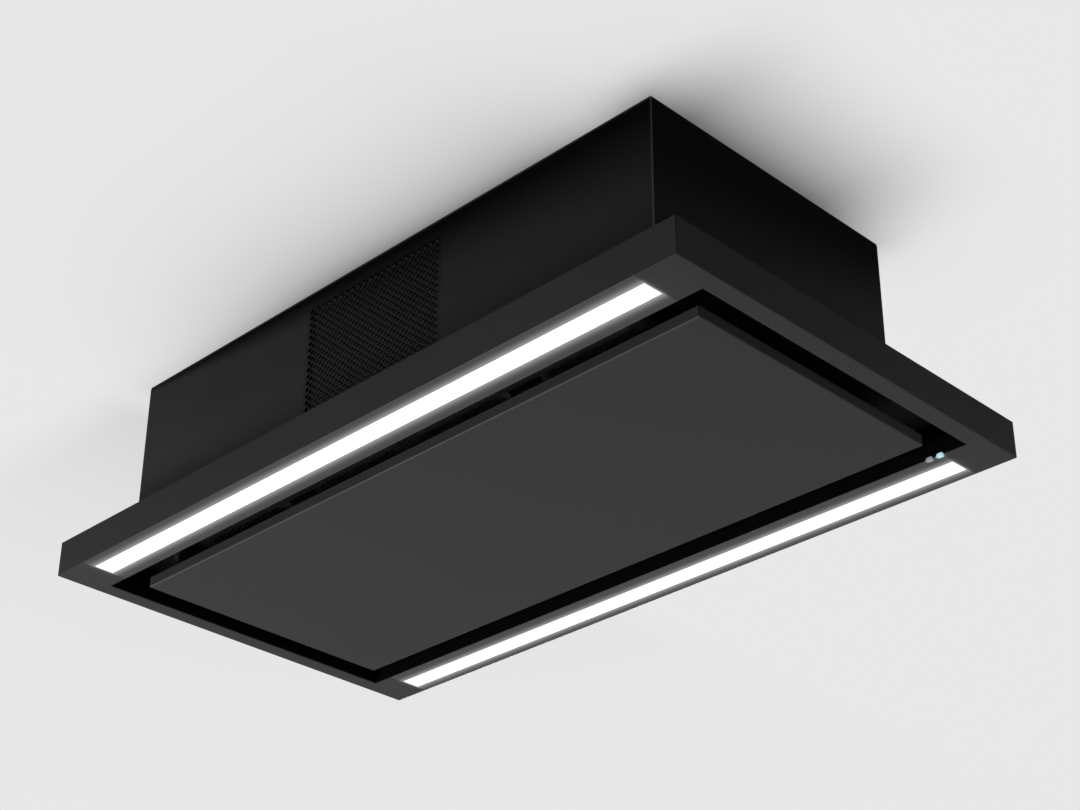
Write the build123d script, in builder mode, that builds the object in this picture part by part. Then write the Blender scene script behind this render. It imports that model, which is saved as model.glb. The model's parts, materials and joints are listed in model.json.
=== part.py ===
from build123d import *
import os
from math import cos, hypot, radians, sin

# Ceiling range hood with perimeter suction.
#
# A flat tray hangs under a narrower casing that is bolted to the ceiling. Air is drawn in
# through the slot round a hinged panel, passes two grease filters in the tray's deck, is
# thrown by a centrifugal blower through a charcoal cassette, and leaves by the perforated
# stretch of the casing's front.
#
# Frame: the origin is the centre of the ceiling bolts on the ceiling plane. X runs along the
# hood, Y from the perforated front (-Y) to the back (+Y), and Z up. All sizes are millimetres.

os.makedirs("parts", exist_ok=True)

# ---------------------------------------------------------------- driving dimensions
tray_length = 900.0
tray_width = 500.0
tray_height = 40.0
casing_length = 766.0
casing_depth = 342.0
casing_height = 190.0       # from the ceiling down to the tray's deck
casing_shift = -30.0        # the casing sits towards the perforated side of the tray
border_long = 56.0          # width of the tray's long borders, which hold the lamps
border_short = 20.0
slot_gap = 30.0             # suction slot, the same all round the panel
panel_thickness = 13.5
panel_proud = 1.0           # the panel hangs this far below the tray's underside

# ---------------------------------------------------------------- sheet and walls
plate_sheet = 2.0
casing_sheet = 1.2
tray_sheet = 1.5
deck_sheet = 1.5
panel_sheet = 1.2
backing_sheet = 1.0
rail_sheet = 1.5
bracket_sheet = 2.0

# ---------------------------------------------------------------- fits
loose_gap = 0.3             # a piece that drops into another
cut_through = 1.0           # how far a cutting tool runs past what it cuts
running_gap = 0.05          # a shaft or pin that turns in its bore
press_gap = 0.02            # a hub pushed on to its shaft

# ---------------------------------------------------------------- levels and faces
wall_top = -plate_sheet
tray_top = -casing_height
tray_bottom = tray_top - tray_height
deck_under = tray_top - deck_sheet
panel_bottom = tray_bottom - panel_proud
panel_top = panel_bottom + panel_thickness
casing_front_y = casing_shift - casing_depth / 2
casing_back_y = casing_shift + casing_depth / 2
casing_inner_front = casing_front_y + casing_sheet
casing_inner_back = casing_back_y - casing_sheet
casing_end_x = casing_length / 2
casing_inner_end = casing_end_x - casing_sheet
mouth_length = tray_length - 2 * border_short
mouth_width = tray_width - 2 * border_long
panel_length = mouth_length - 2 * slot_gap
panel_width = mouth_width - 2 * slot_gap
sides = (("left", -1), ("right", 1))
borders = (("front", -1), ("back", 1))


def slab(x_low, x_high, y_low, y_high, z_low, z_high, mode=Mode.ADD):
    """A flat-sided piece between its six faces, in the part being built."""
    with BuildSketch(Plane.XY.offset(z_low)) as footprint:
        with Locations(((x_low + x_high) / 2, (y_low + y_high) / 2)):
            Rectangle(x_high - x_low, y_high - y_low)
    extrude(footprint.sketch, amount=z_high - z_low, mode=mode)


def post(radius, places, z_low, z_high, mode=Mode.ADD):
    """Upright round posts, or holes when subtracted, at the given places."""
    with BuildSketch(Plane.XY.offset(z_low)) as discs:
        with Locations(*places):
            Circle(radius)
    extrude(discs.sketch, amount=z_high - z_low, mode=mode)


def prism(radius, side_count, places, z_low, z_high, mode=Mode.ADD):
    """Upright prisms. Small screws and their holes are drawn with few sides, as there are many."""
    with BuildSketch(Plane.XY.offset(z_low)) as outlines:
        with Locations(*places):
            RegularPolygon(radius, side_count)
    extrude(outlines.sketch, amount=z_high - z_low, mode=mode)


screw_radius = 1.9
screw_hole = 2.1
screw_head_radius = 4.0
screw_head = 2.4
screw_sides = 8
head_sides = 6


def screw_holes(places, z_low, z_high):
    """Clearance holes for the screws, cut in the part being built."""
    prism(screw_hole, screw_sides, places, z_low, z_high, Mode.SUBTRACT)


def screws(places, head_seat, head_end, tip):
    """Hexagon-head screws: the heads lie from head_seat to head_end, the shanks end at tip."""
    prism(screw_head_radius, head_sides, places, min(head_seat, head_end), max(head_seat, head_end))
    prism(screw_radius, screw_sides, places, min(head_seat, tip), max(head_seat, tip))


# ---------------------------------------------------------------- ceiling plate
bolt_inset_x = 48.0         # from the casing's ends to the bolts
bolt_inset_y = 61.0
bolt_spacing_x = casing_length - 2 * bolt_inset_x
bolt_spacing_y = casing_depth - 2 * bolt_inset_y
bolt_hole_radius = 4.5
plate_inset = 0.5
cable_hole_radius = 9.0
cable_x = -110.0
cable_y = 60.0
casing_screw_inset = 83.0   # from the casing's ends to the outer screws of a long wall
casing_screw_pitch = casing_length / 2 - casing_screw_inset
casing_flange = 14.0
flange_mid = casing_sheet + (casing_flange - casing_sheet) / 2
bolt_places = [
    (side_x * bolt_spacing_x / 2, side_y * bolt_spacing_y / 2)
    for side_x in (-1, 1)
    for side_y in (-1, 1)
]
front_flange_y = casing_front_y + flange_mid
back_flange_y = casing_back_y - flange_mid
end_flange_x = casing_end_x - flange_mid
casing_screw_places = [
    (step * casing_screw_pitch, flange_y)
    for step in (-1, 0, 1)
    for flange_y in (front_flange_y, back_flange_y)
] + [(side * end_flange_x, casing_shift) for _, side in sides]

with BuildPart() as mounting_plate:
    with BuildSketch(Plane.XY.offset(wall_top)):
        with Locations((0, casing_shift)):
            Rectangle(casing_length - 2 * plate_inset, casing_depth - 2 * plate_inset)
        with Locations(*bolt_places):
            Circle(bolt_hole_radius, mode=Mode.SUBTRACT)
        with Locations((cable_x, cable_y)):
            Circle(cable_hole_radius, mode=Mode.SUBTRACT)
    extrude(amount=plate_sheet)
    screw_holes(casing_screw_places, wall_top, 0)
mounting_plate.part.label = "mounting_plate"
export_step(mounting_plate.part, "parts/mounting_plate.step")

# A grommet lines the hole that the supply cable comes down through.
cable_bore_radius = 5.0
grommet_drop = 12.0
grommet_flange_radius = 12.5
grommet_flange = 2.0
grommet_chamfer = 0.8
with BuildPart() as cable_grommet:
    post(cable_hole_radius - loose_gap, [(cable_x, cable_y)], wall_top - grommet_drop, -loose_gap)
    post(grommet_flange_radius, [(cable_x, cable_y)], wall_top - grommet_flange, wall_top)
    post(
        cable_bore_radius,
        [(cable_x, cable_y)],
        wall_top - grommet_drop,
        -loose_gap,
        mode=Mode.SUBTRACT,
    )
    chamfer(cable_grommet.edges().group_by(Axis.Z)[0], length=grommet_chamfer)
cable_grommet.part.label = "cable_grommet"
export_step(cable_grommet.part, "parts/cable_grommet.step")

# ---------------------------------------------------------------- perforated outlet
# The front wall is pierced by lozenges set on a staggered lattice, so that straight slanting
# webs are left between them.
grille_width = 206.0
grille_height = 150.0
grille_rise = 95.0          # from the tray's deck up to the middle of the outlet
grille_pitch_x = 27.6
grille_pitch_z = 23.7
grille_web = 4.2
grille_mid_z = tray_top + grille_rise
lozenge_gap = grille_pitch_x * grille_pitch_z / hypot(grille_pitch_x, grille_pitch_z)
lozenge_scale = 1 - grille_web / lozenge_gap
lozenge_half_x = grille_pitch_x / 2 * lozenge_scale
lozenge_half_z = grille_pitch_z / 2 * lozenge_scale
grille_columns = int(grille_width // grille_pitch_x)
grille_rows = int(grille_height // (grille_pitch_z / 2))


def lozenge_places():
    """Centres of the lozenges: every other row has one fewer and is shifted by half a pitch."""
    places = []
    for row in range(grille_rows):
        columns = grille_columns - row % 2
        z = grille_mid_z + (row - (grille_rows - 1) / 2) * grille_pitch_z / 2
        for column in range(columns):
            places.append(((column - (columns - 1) / 2) * grille_pitch_x, z))
    return places


# ---------------------------------------------------------------- casing


def casing_flanges(outer_y, inward):
    """Top and bottom flanges folded inward from a long wall whose outer face is at outer_y."""
    reach = casing_inner_end - loose_gap
    near_y = min(outer_y, outer_y + inward * casing_flange)
    far_y = max(outer_y, outer_y + inward * casing_flange)
    slab(-reach, reach, near_y, far_y, wall_top - casing_sheet, wall_top)
    slab(-reach, reach, near_y, far_y, tray_top, tray_top + casing_sheet)


with BuildPart() as casing_front:
    with BuildSketch(Plane.XZ.offset(-casing_front_y)):
        with Locations((0, (wall_top + tray_top) / 2)):
            Rectangle(casing_length, wall_top - tray_top)
        with Locations(*lozenge_places()):
            Polygon(
                (-lozenge_half_x, 0),
                (0, -lozenge_half_z),
                (lozenge_half_x, 0),
                (0, lozenge_half_z),
                mode=Mode.SUBTRACT,
            )
    extrude(amount=-casing_sheet)
    casing_flanges(casing_front_y, 1)
    screw_holes(casing_screw_places, wall_top - casing_sheet, wall_top)
    screw_holes(casing_screw_places, tray_top, tray_top + casing_sheet)
casing_front.part.label = "casing_front"
export_step(casing_front.part, "parts/casing_front.step")

with BuildPart() as casing_back:
    with BuildSketch(Plane.XZ.offset(-casing_back_y)):
        with Locations((0, (wall_top + tray_top) / 2)):
            Rectangle(casing_length, wall_top - tray_top)
    extrude(amount=casing_sheet)
    casing_flanges(casing_back_y, -1)
    screw_holes(casing_screw_places, wall_top - casing_sheet, wall_top)
    screw_holes(casing_screw_places, tray_top, tray_top + casing_sheet)
casing_back.part.label = "casing_back"
export_step(casing_back.part, "parts/casing_back.step")

# Each end fits between the long walls and has lips that lap behind them.
lip_rise = casing_sheet + loose_gap
for side_name, side in sides:
    outer_x = side * casing_end_x
    inner_x = side * casing_inner_end
    lip_x = side * (casing_end_x - casing_flange)
    x_low = min(outer_x, lip_x)
    x_high = max(outer_x, lip_x)
    with BuildPart() as casing_end:
        slab(
            min(outer_x, inner_x),
            max(outer_x, inner_x),
            casing_inner_front,
            casing_inner_back,
            tray_top,
            wall_top,
        )
        for y_low, y_high in (
            (casing_inner_front, casing_inner_front + casing_sheet),
            (casing_inner_back - casing_sheet, casing_inner_back),
        ):
            slab(x_low, x_high, y_low, y_high, tray_top + lip_rise, wall_top - lip_rise)
        flange_low = casing_front_y + casing_flange + loose_gap
        flange_high = casing_back_y - casing_flange - loose_gap
        slab(x_low, x_high, flange_low, flange_high, wall_top - casing_sheet, wall_top)
        slab(x_low, x_high, flange_low, flange_high, tray_top, tray_top + casing_sheet)
        screw_holes(casing_screw_places, wall_top - casing_sheet, wall_top)
        screw_holes(casing_screw_places, tray_top, tray_top + casing_sheet)
    casing_end.part.label = f"casing_end_{side_name}"
    export_step(casing_end.part, f"parts/casing_end_{side_name}.step")

with BuildPart() as casing_top_screws:
    flange_under = wall_top - casing_sheet
    screws(casing_screw_places, flange_under, flange_under - screw_head, -loose_gap)
casing_top_screws.part.label = "casing_top_screws"
export_step(casing_top_screws.part, "parts/casing_top_screws.step")

with BuildPart() as casing_foot_screws:
    flange_upper = tray_top + casing_sheet
    screws(casing_screw_places, flange_upper, flange_upper + screw_head, deck_under + loose_gap)
casing_foot_screws.part.label = "casing_foot_screws"
export_step(casing_foot_screws.part, "parts/casing_foot_screws.step")

# ---------------------------------------------------------------- tray
tray_corner = 1.5
return_flange = 16.0
flange_screw_edge = 4.0     # from the flange's edge to the deck screws
lamp_width = 22.0
lamp_edge = 15.0            # from the tray's outer long edge to the lamp
lamp_length = panel_length
lamp_mid_y = tray_width / 2 - lamp_edge - lamp_width / 2
status_pitch = 12.5
status_inset = 38.0         # from the mouth's end to the middle of the two status lights
status_length = 9.0
status_height = 5.0
status_mid_x = mouth_length / 2 - status_inset
return_outer_x = mouth_length / 2 + tray_sheet
return_outer_y = mouth_width / 2 + tray_sheet
deck_screw_inset = 30.0     # from the mouth's ends to the outer screws of a long side
deck_screw_pitch = (mouth_length - 2 * deck_screw_inset) / 3
deck_screw_y = return_outer_y + return_flange - flange_screw_edge
deck_screw_x = return_outer_x + return_flange - flange_screw_edge
deck_screw_places = [
    (step * deck_screw_pitch, side_y * deck_screw_y)
    for step in (-1.5, -0.5, 0.5, 1.5)
    for side_y in (-1, 1)
] + [(side * deck_screw_x, 0) for _, side in sides]

# The status lights are short light guides set at 45 degrees across the mouth's back edge, so
# each shows on the edge's two faces.
status_edge = Plane(
    origin=(status_mid_x, mouth_width / 2, tray_bottom), x_dir=(1, 0, 0), z_dir=(0, 1, 1)
)


def status_pills(places, grow):
    """Pill outlines of the status lights on the 45 degree plane through the edge."""
    with BuildSketch(status_edge.offset(-status_height)) as pills:
        with Locations(*places):
            SlotOverall(status_length + 2 * grow, status_height + 2 * grow)
    return pills.sketch


both_lights = [(step * status_pitch, 0) for step in (-0.5, 0.5)]

with BuildPart() as tray_frame:
    # underside, with the mouth and the two lamp windows
    with BuildSketch(Plane.XY.offset(tray_bottom)):
        Rectangle(tray_length, tray_width)
        Rectangle(mouth_length, mouth_width, mode=Mode.SUBTRACT)
        with Locations((0, lamp_mid_y), (0, -lamp_mid_y)):
            Rectangle(lamp_length + 2 * loose_gap, lamp_width + 2 * loose_gap, mode=Mode.SUBTRACT)
    extrude(amount=tray_sheet)
    # outer skirt
    with BuildSketch(Plane.XY.offset(tray_bottom)):
        Rectangle(tray_length, tray_width)
        Rectangle(
            tray_length - 2 * tray_sheet, tray_width - 2 * tray_sheet, mode=Mode.SUBTRACT
        )
    extrude(amount=tray_height)
    # returns round the mouth, turned out under the deck
    with BuildSketch(Plane.XY.offset(tray_bottom)):
        Rectangle(2 * return_outer_x, 2 * return_outer_y)
        Rectangle(mouth_length, mouth_width, mode=Mode.SUBTRACT)
    extrude(amount=deck_under - tray_bottom)
    with BuildSketch(Plane.XY.offset(deck_under - tray_sheet)):
        Rectangle(2 * (return_outer_x + return_flange), 2 * (return_outer_y + return_flange))
        Rectangle(mouth_length, mouth_width, mode=Mode.SUBTRACT)
    extrude(amount=tray_sheet)
    screw_holes(deck_screw_places, deck_under - tray_sheet, deck_under)
    # windows of the two status lights
    extrude(status_pills(both_lights, loose_gap), amount=3 * status_height, mode=Mode.SUBTRACT)
    outer_uprights = tray_frame.edges().filter_by(Axis.Z).filter_by(
        lambda edge: abs(edge.center().X) > tray_length / 2 - loose_gap
    )
    fillet(outer_uprights, radius=tray_corner)
tray_frame.part.label = "tray_frame"
export_step(tray_frame.part, "parts/tray_frame.step")

# ---------------------------------------------------------------- deck
filter_length = 322.0
filter_width = 268.0
filter_thickness = 9.0
filter_split = 6.0          # gap between the two cassettes
filter_lap = 8.0            # each cassette laps the deck by this much
deck_half_x = tray_length / 2 - tray_sheet - loose_gap
deck_half_y = tray_width / 2 - tray_sheet - loose_gap
filter_mid_x = (filter_length + filter_split) / 2
filter_places = [(side * filter_mid_x, casing_shift) for _, side in sides]

with BuildPart() as tray_deck:
    with BuildSketch(Plane.XY.offset(deck_under)):
        RectangleRounded(2 * deck_half_x, 2 * deck_half_y, tray_corner)
        with Locations(*filter_places):
            Rectangle(
                filter_length - 2 * filter_lap, filter_width - 2 * filter_lap, mode=Mode.SUBTRACT
            )
    extrude(amount=deck_sheet)
    screw_holes(deck_screw_places + casing_screw_places, deck_under, tray_top)
tray_deck.part.label = "tray_deck"
export_step(tray_deck.part, "parts/tray_deck.step")

with BuildPart() as deck_screws:
    screws(deck_screw_places, tray_top, tray_top + screw_head, deck_under - tray_sheet - cut_through)
deck_screws.part.label = "deck_screws"
export_step(deck_screws.part, "parts/deck_screws.step")

# ---------------------------------------------------------------- lamps
profile_width = 26.0
profile_height = 12.0
profile_wall = 1.2
profile_foot = 3.0
diffuser_lip = 0.9
diffuser_thick = 2.0
board_width = 18.0
board_thick = 1.6
chip_size = 3.0
chip_height = 0.8
chip_pitch = 33.0
chip_count = int((lamp_length - 2 * chip_size) // chip_pitch)
lamp_floor = tray_bottom + tray_sheet
profile_top = lamp_floor + profile_height
board_top = profile_top - profile_wall

for border_name, border in borders:
    mid_y = border * lamp_mid_y
    with BuildPart() as lamp_profile:
        with BuildSketch(Plane.YZ.offset(-lamp_length / 2 - profile_foot)):
            with Locations((mid_y, lamp_floor + profile_height / 2)):
                Rectangle(profile_width, profile_height)
            with Locations((mid_y, lamp_floor + (profile_height - profile_wall) / 2)):
                Rectangle(
                    profile_width - 2 * profile_wall,
                    profile_height - profile_wall,
                    mode=Mode.SUBTRACT,
                )
            for foot_side in (-1, 1):
                foot_y = mid_y + foot_side * (profile_width + profile_foot) / 2
                with Locations((foot_y, lamp_floor + profile_wall / 2)):
                    Rectangle(profile_foot, profile_wall)
        extrude(amount=lamp_length + 2 * profile_foot)
    lamp_profile.part.label = f"lamp_profile_{border_name}"
    export_step(lamp_profile.part, f"parts/lamp_profile_{border_name}.step")

    with BuildPart() as lamp_board:
        with BuildSketch(Plane.XY.offset(board_top - board_thick)):
            with Locations((0, mid_y)):
                Rectangle(lamp_length - 2 * chip_size, board_width)
        extrude(amount=board_thick)
        with BuildSketch(Plane.XY.offset(board_top - board_thick - chip_height)):
            with Locations((0, mid_y)):
                with GridLocations(chip_pitch, 1, chip_count, 1):
                    Rectangle(chip_size, chip_size)
        extrude(amount=chip_height)
    lamp_board.part.label = f"lamp_board_{border_name}"
    export_step(lamp_board.part, f"parts/lamp_board_{border_name}.step")

    with BuildPart() as lamp_diffuser:
        with BuildSketch(Plane.XY.offset(tray_bottom)):
            with Locations((0, mid_y)):
                Rectangle(lamp_length, lamp_width)
        extrude(amount=tray_sheet)
        with BuildSketch(Plane.XY.offset(lamp_floor)):
            with Locations((0, mid_y)):
                Rectangle(lamp_length + 2 * diffuser_lip, lamp_width + 2 * diffuser_lip - loose_gap)
        extrude(amount=diffuser_thick)
    lamp_diffuser.part.label = f"lamp_diffuser_{border_name}"
    export_step(lamp_diffuser.part, f"parts/lamp_diffuser_{border_name}.step")

# ---------------------------------------------------------------- status lights
status_board_length = 38.0
status_board_height = 10.0
guide_length = 10.0         # from the edge to the board, along the 45 degree axis
guide_proud = 0.3
holder_back = 2.0
guide_reach = 2 * status_height

for lens_name, step in (("receiver_lens", -0.5), ("status_lens", 0.5)):
    lens_x = status_mid_x + step * status_pitch
    with BuildPart() as light_lens:
        extrude(status_pills([(step * status_pitch, 0)], 0), amount=status_height + guide_length)
        # trimmed just proud of the edge's two faces
        slab(
            lens_x - status_length,
            lens_x + status_length,
            mouth_width / 2 - guide_reach,
            mouth_width / 2 - guide_proud,
            tray_bottom - guide_reach,
            tray_bottom + guide_reach,
            mode=Mode.SUBTRACT,
        )
        slab(
            lens_x - status_length,
            lens_x + status_length,
            mouth_width / 2 - guide_reach,
            mouth_width / 2 + guide_reach,
            tray_bottom - guide_reach,
            tray_bottom - guide_proud,
            mode=Mode.SUBTRACT,
        )
    light_lens.part.label = lens_name
    export_step(light_lens.part, f"parts/{lens_name}.step")

with BuildPart() as status_board:
    with BuildSketch(status_edge.offset(guide_length)):
        Rectangle(status_board_length, status_board_height)
    extrude(amount=board_thick)
status_board.part.label = "status_board"
export_step(status_board.part, "parts/status_board.step")

# A wedge on the tray's floor holds the board at its slant.
slant = cos(radians(45))
board_back = (guide_length + board_thick) * slant
board_rise = status_board_height / 2 * slant
wedge_front_y = mouth_width / 2 + board_back + board_rise
wedge_top_z = tray_bottom + board_back + board_rise
with BuildPart() as status_holder:
    with BuildSketch(Plane.YZ.offset(status_mid_x - status_board_length / 2)):
        with BuildLine():
            Polyline(
                (wedge_front_y - 2 * board_rise, wedge_top_z),
                (wedge_front_y, wedge_top_z - 2 * board_rise),
                (wedge_front_y, lamp_floor),
                (wedge_front_y + holder_back, lamp_floor),
                (wedge_front_y + holder_back, wedge_top_z),
                close=True,
            )
        make_face()
    extrude(amount=status_board_length)
status_holder.part.label = "status_holder"
export_step(status_holder.part, "parts/status_holder.step")

# ---------------------------------------------------------------- grease filters
filter_top = deck_under
filter_bottom = filter_top - filter_thickness
filter_bar = 12.0           # width of the cassette's edge channel
filter_lip = 1.0
mesh_engage = 4.0           # the mesh sits this deep in the channel
latch_width = 40.0
latch_thick = 2.8
latch_travel = 4.5
latch_spare = 1.0           # room left behind the grip when the latch is drawn right back
latch_chamfer = 1.6
grip_round = 1.0
latch_rise = 3.0            # from the cassette's underside to the latch plate
latch_house_width = 64.0
latch_house_depth = 34.0
recess_width = 52.0
recess_wall = 4.0
recess_roof = 1.2
grip_thick = 3.0
grip_drop = 3.5
tongue_reach = 4.3          # the tongue stands out of the cassette by this much
rail_gap = 1.5
rail_flange = 12.0
rail_drop = 12.0
rail_length = 2 * filter_length + filter_split
filter_front_y = casing_shift - filter_width / 2
filter_back_y = casing_shift + filter_width / 2
house_back_y = filter_front_y + latch_house_depth
recess_front_y = filter_front_y + filter_bar - loose_gap
recess_back_y = house_back_y - recess_wall
latch_bottom = filter_bottom + latch_rise
grip_back_y = recess_back_y - latch_travel - latch_spare
tab_width = 20.0
tab_length = 8.0
tab_thick = 1.5
tab_spread = 200.0
tab_rise = 4.0              # from the cassette's underside to its tabs
tab_bottom = filter_bottom + tab_rise

for side_name, side in sides:
    mid_x = side * filter_mid_x
    with BuildPart() as filter_frame:
        with BuildSketch(Plane.XY.offset(filter_bottom)):
            with Locations((mid_x, casing_shift)):
                Rectangle(filter_length, filter_width)
                Rectangle(
                    filter_length - 2 * filter_bar,
                    filter_width - 2 * filter_bar,
                    mode=Mode.SUBTRACT,
                )
        extrude(amount=filter_thickness)
        # groove that takes the mesh
        with BuildSketch(Plane.XY.offset(filter_bottom + filter_lip)):
            with Locations((mid_x, casing_shift)):
                Rectangle(
                    filter_length - 2 * (filter_bar - mesh_engage - loose_gap),
                    filter_width - 2 * (filter_bar - mesh_engage - loose_gap),
                )
        extrude(amount=filter_thickness - 2 * filter_lip, mode=Mode.SUBTRACT)
        # housing of the latch: a block with a finger recess and a slot for the sliding tongue
        half_house = latch_house_width / 2
        half_recess = recess_width / 2
        half_slot = latch_width / 2 + loose_gap
        slab(
            mid_x - half_house,
            mid_x + half_house,
            filter_front_y,
            house_back_y,
            filter_bottom,
            filter_top,
        )
        slab(
            mid_x - half_recess,
            mid_x + half_recess,
            recess_front_y,
            recess_back_y,
            filter_bottom,
            filter_top - recess_roof,
            mode=Mode.SUBTRACT,
        )
        slab(
            mid_x - half_slot,
            mid_x + half_slot,
            filter_front_y,
            recess_front_y,
            latch_bottom - loose_gap,
            latch_bottom + latch_thick + loose_gap,
            mode=Mode.SUBTRACT,
        )
        # tabs that hook into the back rail
        for tab_side in (-0.5, 0.5):
            tab_x = mid_x + tab_side * tab_spread
            slab(
                tab_x - tab_width / 2,
                tab_x + tab_width / 2,
                filter_back_y - filter_lip,
                filter_back_y + tab_length,
                tab_bottom,
                tab_bottom + tab_thick,
            )
    filter_frame.part.label = f"filter_frame_{side_name}"
    export_step(filter_frame.part, f"parts/filter_frame_{side_name}.step")

    with BuildPart() as filter_mesh:
        with BuildSketch(Plane.XY.offset(filter_bottom + filter_lip)):
            with Locations((mid_x, casing_shift)):
                Rectangle(
                    filter_length - 2 * (filter_bar - mesh_engage),
                    filter_width - 2 * (filter_bar - mesh_engage),
                )
            notch_low = filter_front_y + filter_bar - mesh_engage
            notch_high = house_back_y + loose_gap
            with Locations((mid_x, (notch_low + notch_high) / 2)):
                Rectangle(
                    latch_house_width + 2 * loose_gap, notch_high - notch_low, mode=Mode.SUBTRACT
                )
        extrude(amount=filter_thickness - 2 * filter_lip - loose_gap)
    filter_mesh.part.label = f"filter_mesh_{side_name}"
    export_step(filter_mesh.part, f"parts/filter_mesh_{side_name}.step")

    with BuildPart() as filter_latch:
        slab(
            mid_x - latch_width / 2,
            mid_x + latch_width / 2,
            filter_front_y - tongue_reach,
            grip_back_y,
            latch_bottom,
            latch_bottom + latch_thick,
        )
        slab(
            mid_x - latch_width / 2,
            mid_x + latch_width / 2,
            grip_back_y - grip_thick,
            grip_back_y,
            latch_bottom - grip_drop,
            latch_bottom,
        )
        tongue_edge = filter_latch.edges().filter_by(Axis.X).group_by(Axis.Y)[0]
        chamfer(tongue_edge.sort_by(Axis.Z)[-1], length=latch_chamfer)
        grip_edges = filter_latch.edges().filter_by(Axis.X).group_by(Axis.Z)[0]
        fillet(grip_edges, radius=grip_round)
    filter_latch.part.label = f"filter_latch_{side_name}"
    export_step(filter_latch.part, f"parts/filter_latch_{side_name}.step")

# The front rail stops the tongues, the back rail carries the tabs.
front_web_y = filter_front_y - rail_gap
back_web_y = filter_back_y + rail_gap
with BuildPart() as filter_rail_front:
    with BuildSketch(Plane.YZ.offset(-rail_length / 2)):
        with BuildLine():
            Polyline(
                (front_web_y, deck_under),
                (front_web_y - rail_flange, deck_under),
                (front_web_y - rail_flange, deck_under - rail_sheet),
                (front_web_y - rail_sheet, deck_under - rail_sheet),
                (front_web_y - rail_sheet, deck_under - rail_drop),
                (front_web_y, deck_under - rail_drop),
                close=True,
            )
        make_face()
    extrude(amount=rail_length)
    for _, side in sides:
        half_slot = latch_width / 2 + loose_gap
        slab(
            side * filter_mid_x - half_slot,
            side * filter_mid_x + half_slot,
            front_web_y - rail_sheet,
            front_web_y,
            latch_bottom - loose_gap,
            latch_bottom + latch_thick + loose_gap,
            mode=Mode.SUBTRACT,
        )
filter_rail_front.part.label = "filter_rail_front"
export_step(filter_rail_front.part, "parts/filter_rail_front.step")

with BuildPart() as filter_rail_back:
    with BuildSketch(Plane.YZ.offset(-rail_length / 2)):
        with BuildLine():
            Polyline(
                (back_web_y, deck_under),
                (back_web_y + rail_flange, deck_under),
                (back_web_y + rail_flange, deck_under - rail_sheet),
                (back_web_y + rail_sheet, deck_under - rail_sheet),
                (back_web_y + rail_sheet, deck_under - rail_drop),
                (back_web_y, deck_under - rail_drop),
                close=True,
            )
        make_face()
    extrude(amount=rail_length)
    for _, side in sides:
        for tab_side in (-0.5, 0.5):
            tab_x = side * filter_mid_x + tab_side * tab_spread
            slab(
                tab_x - tab_width / 2 - loose_gap,
                tab_x + tab_width / 2 + loose_gap,
                back_web_y,
                back_web_y + rail_sheet,
                tab_bottom,
                tab_bottom + tab_thick + loose_gap,
                mode=Mode.SUBTRACT,
            )
filter_rail_back.part.label = "filter_rail_back"
export_step(filter_rail_back.part, "parts/filter_rail_back.step")

# ---------------------------------------------------------------- suction panel
panel_lip = 12.0
backing_inset = 6.0
channel_count = 3
channel_end_gap = 50.0
channel_width = 34.0
channel_depth = 8.0
channel_taper = 20.0
panel_edge_round = 0.6
channel_pitch = (panel_width - 2 * backing_inset) / channel_count
channel_length = panel_length - 2 * channel_end_gap
skin_top = panel_top - backing_sheet

with BuildPart() as panel_skin:
    with BuildSketch(Plane.XY.offset(panel_bottom)):
        Rectangle(panel_length, panel_width)
    extrude(amount=skin_top - panel_bottom)
    with BuildSketch(Plane.XY.offset(panel_bottom + panel_sheet)):
        Rectangle(panel_length - 2 * panel_sheet, panel_width - 2 * panel_sheet)
    extrude(amount=skin_top - panel_bottom - 2 * panel_sheet, mode=Mode.SUBTRACT)
    with BuildSketch(Plane.XY.offset(skin_top - panel_sheet)):
        Rectangle(panel_length - 2 * panel_lip, panel_width - 2 * panel_lip)
    extrude(amount=panel_sheet, mode=Mode.SUBTRACT)
    fillet(panel_skin.edges().group_by(Axis.Z)[0], radius=panel_edge_round)
panel_skin.part.label = "panel_skin"
export_step(panel_skin.part, "parts/panel_skin.step")

# The backing is a pressed sheet with long channels that stiffen the panel.
with BuildPart() as panel_backing:
    with BuildSketch(Plane.XY.offset(skin_top)):
        Rectangle(panel_length - 2 * backing_inset, panel_width - 2 * backing_inset)
    extrude(amount=backing_sheet)
    with BuildSketch(Plane.XY.offset(panel_top)):
        with GridLocations(1, channel_pitch, 1, channel_count):
            Rectangle(channel_length, channel_width)
    extrude(amount=-channel_depth, taper=channel_taper)
    with BuildSketch(Plane.XY.offset(panel_top)):
        with GridLocations(1, channel_pitch, 1, channel_count):
            Rectangle(channel_length - 2 * backing_sheet, channel_width - 2 * backing_sheet)
    extrude(amount=-(channel_depth - backing_sheet), taper=channel_taper, mode=Mode.SUBTRACT)
panel_backing.part.label = "panel_backing"
export_step(panel_backing.part, "parts/panel_backing.step")

# ---------------------------------------------------------------- panel hinges
hinge_inset = 100.0         # from the panel's ends to the hinges
hinge_setback = 12.0        # pin axis inside the panel's back edge
hinge_rise = 5.0            # pin axis above the panel's top
hinge_pin_radius = 2.0
hinge_eye_radius = 4.2
leaf_width = 19.0
leaf_length = 40.0
leaf_sheet = 1.5
ear_gap = 0.5
ear_radius = 4.4
ear_back = 12.0
foot_length = 44.0
pin_head_radius = 3.4
pin_head = 1.5
hinge_x = panel_length / 2 - hinge_inset
hinge_y = panel_width / 2 - hinge_setback
hinge_z = panel_top + hinge_rise
ear_offset = leaf_width / 2 + ear_gap

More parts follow.
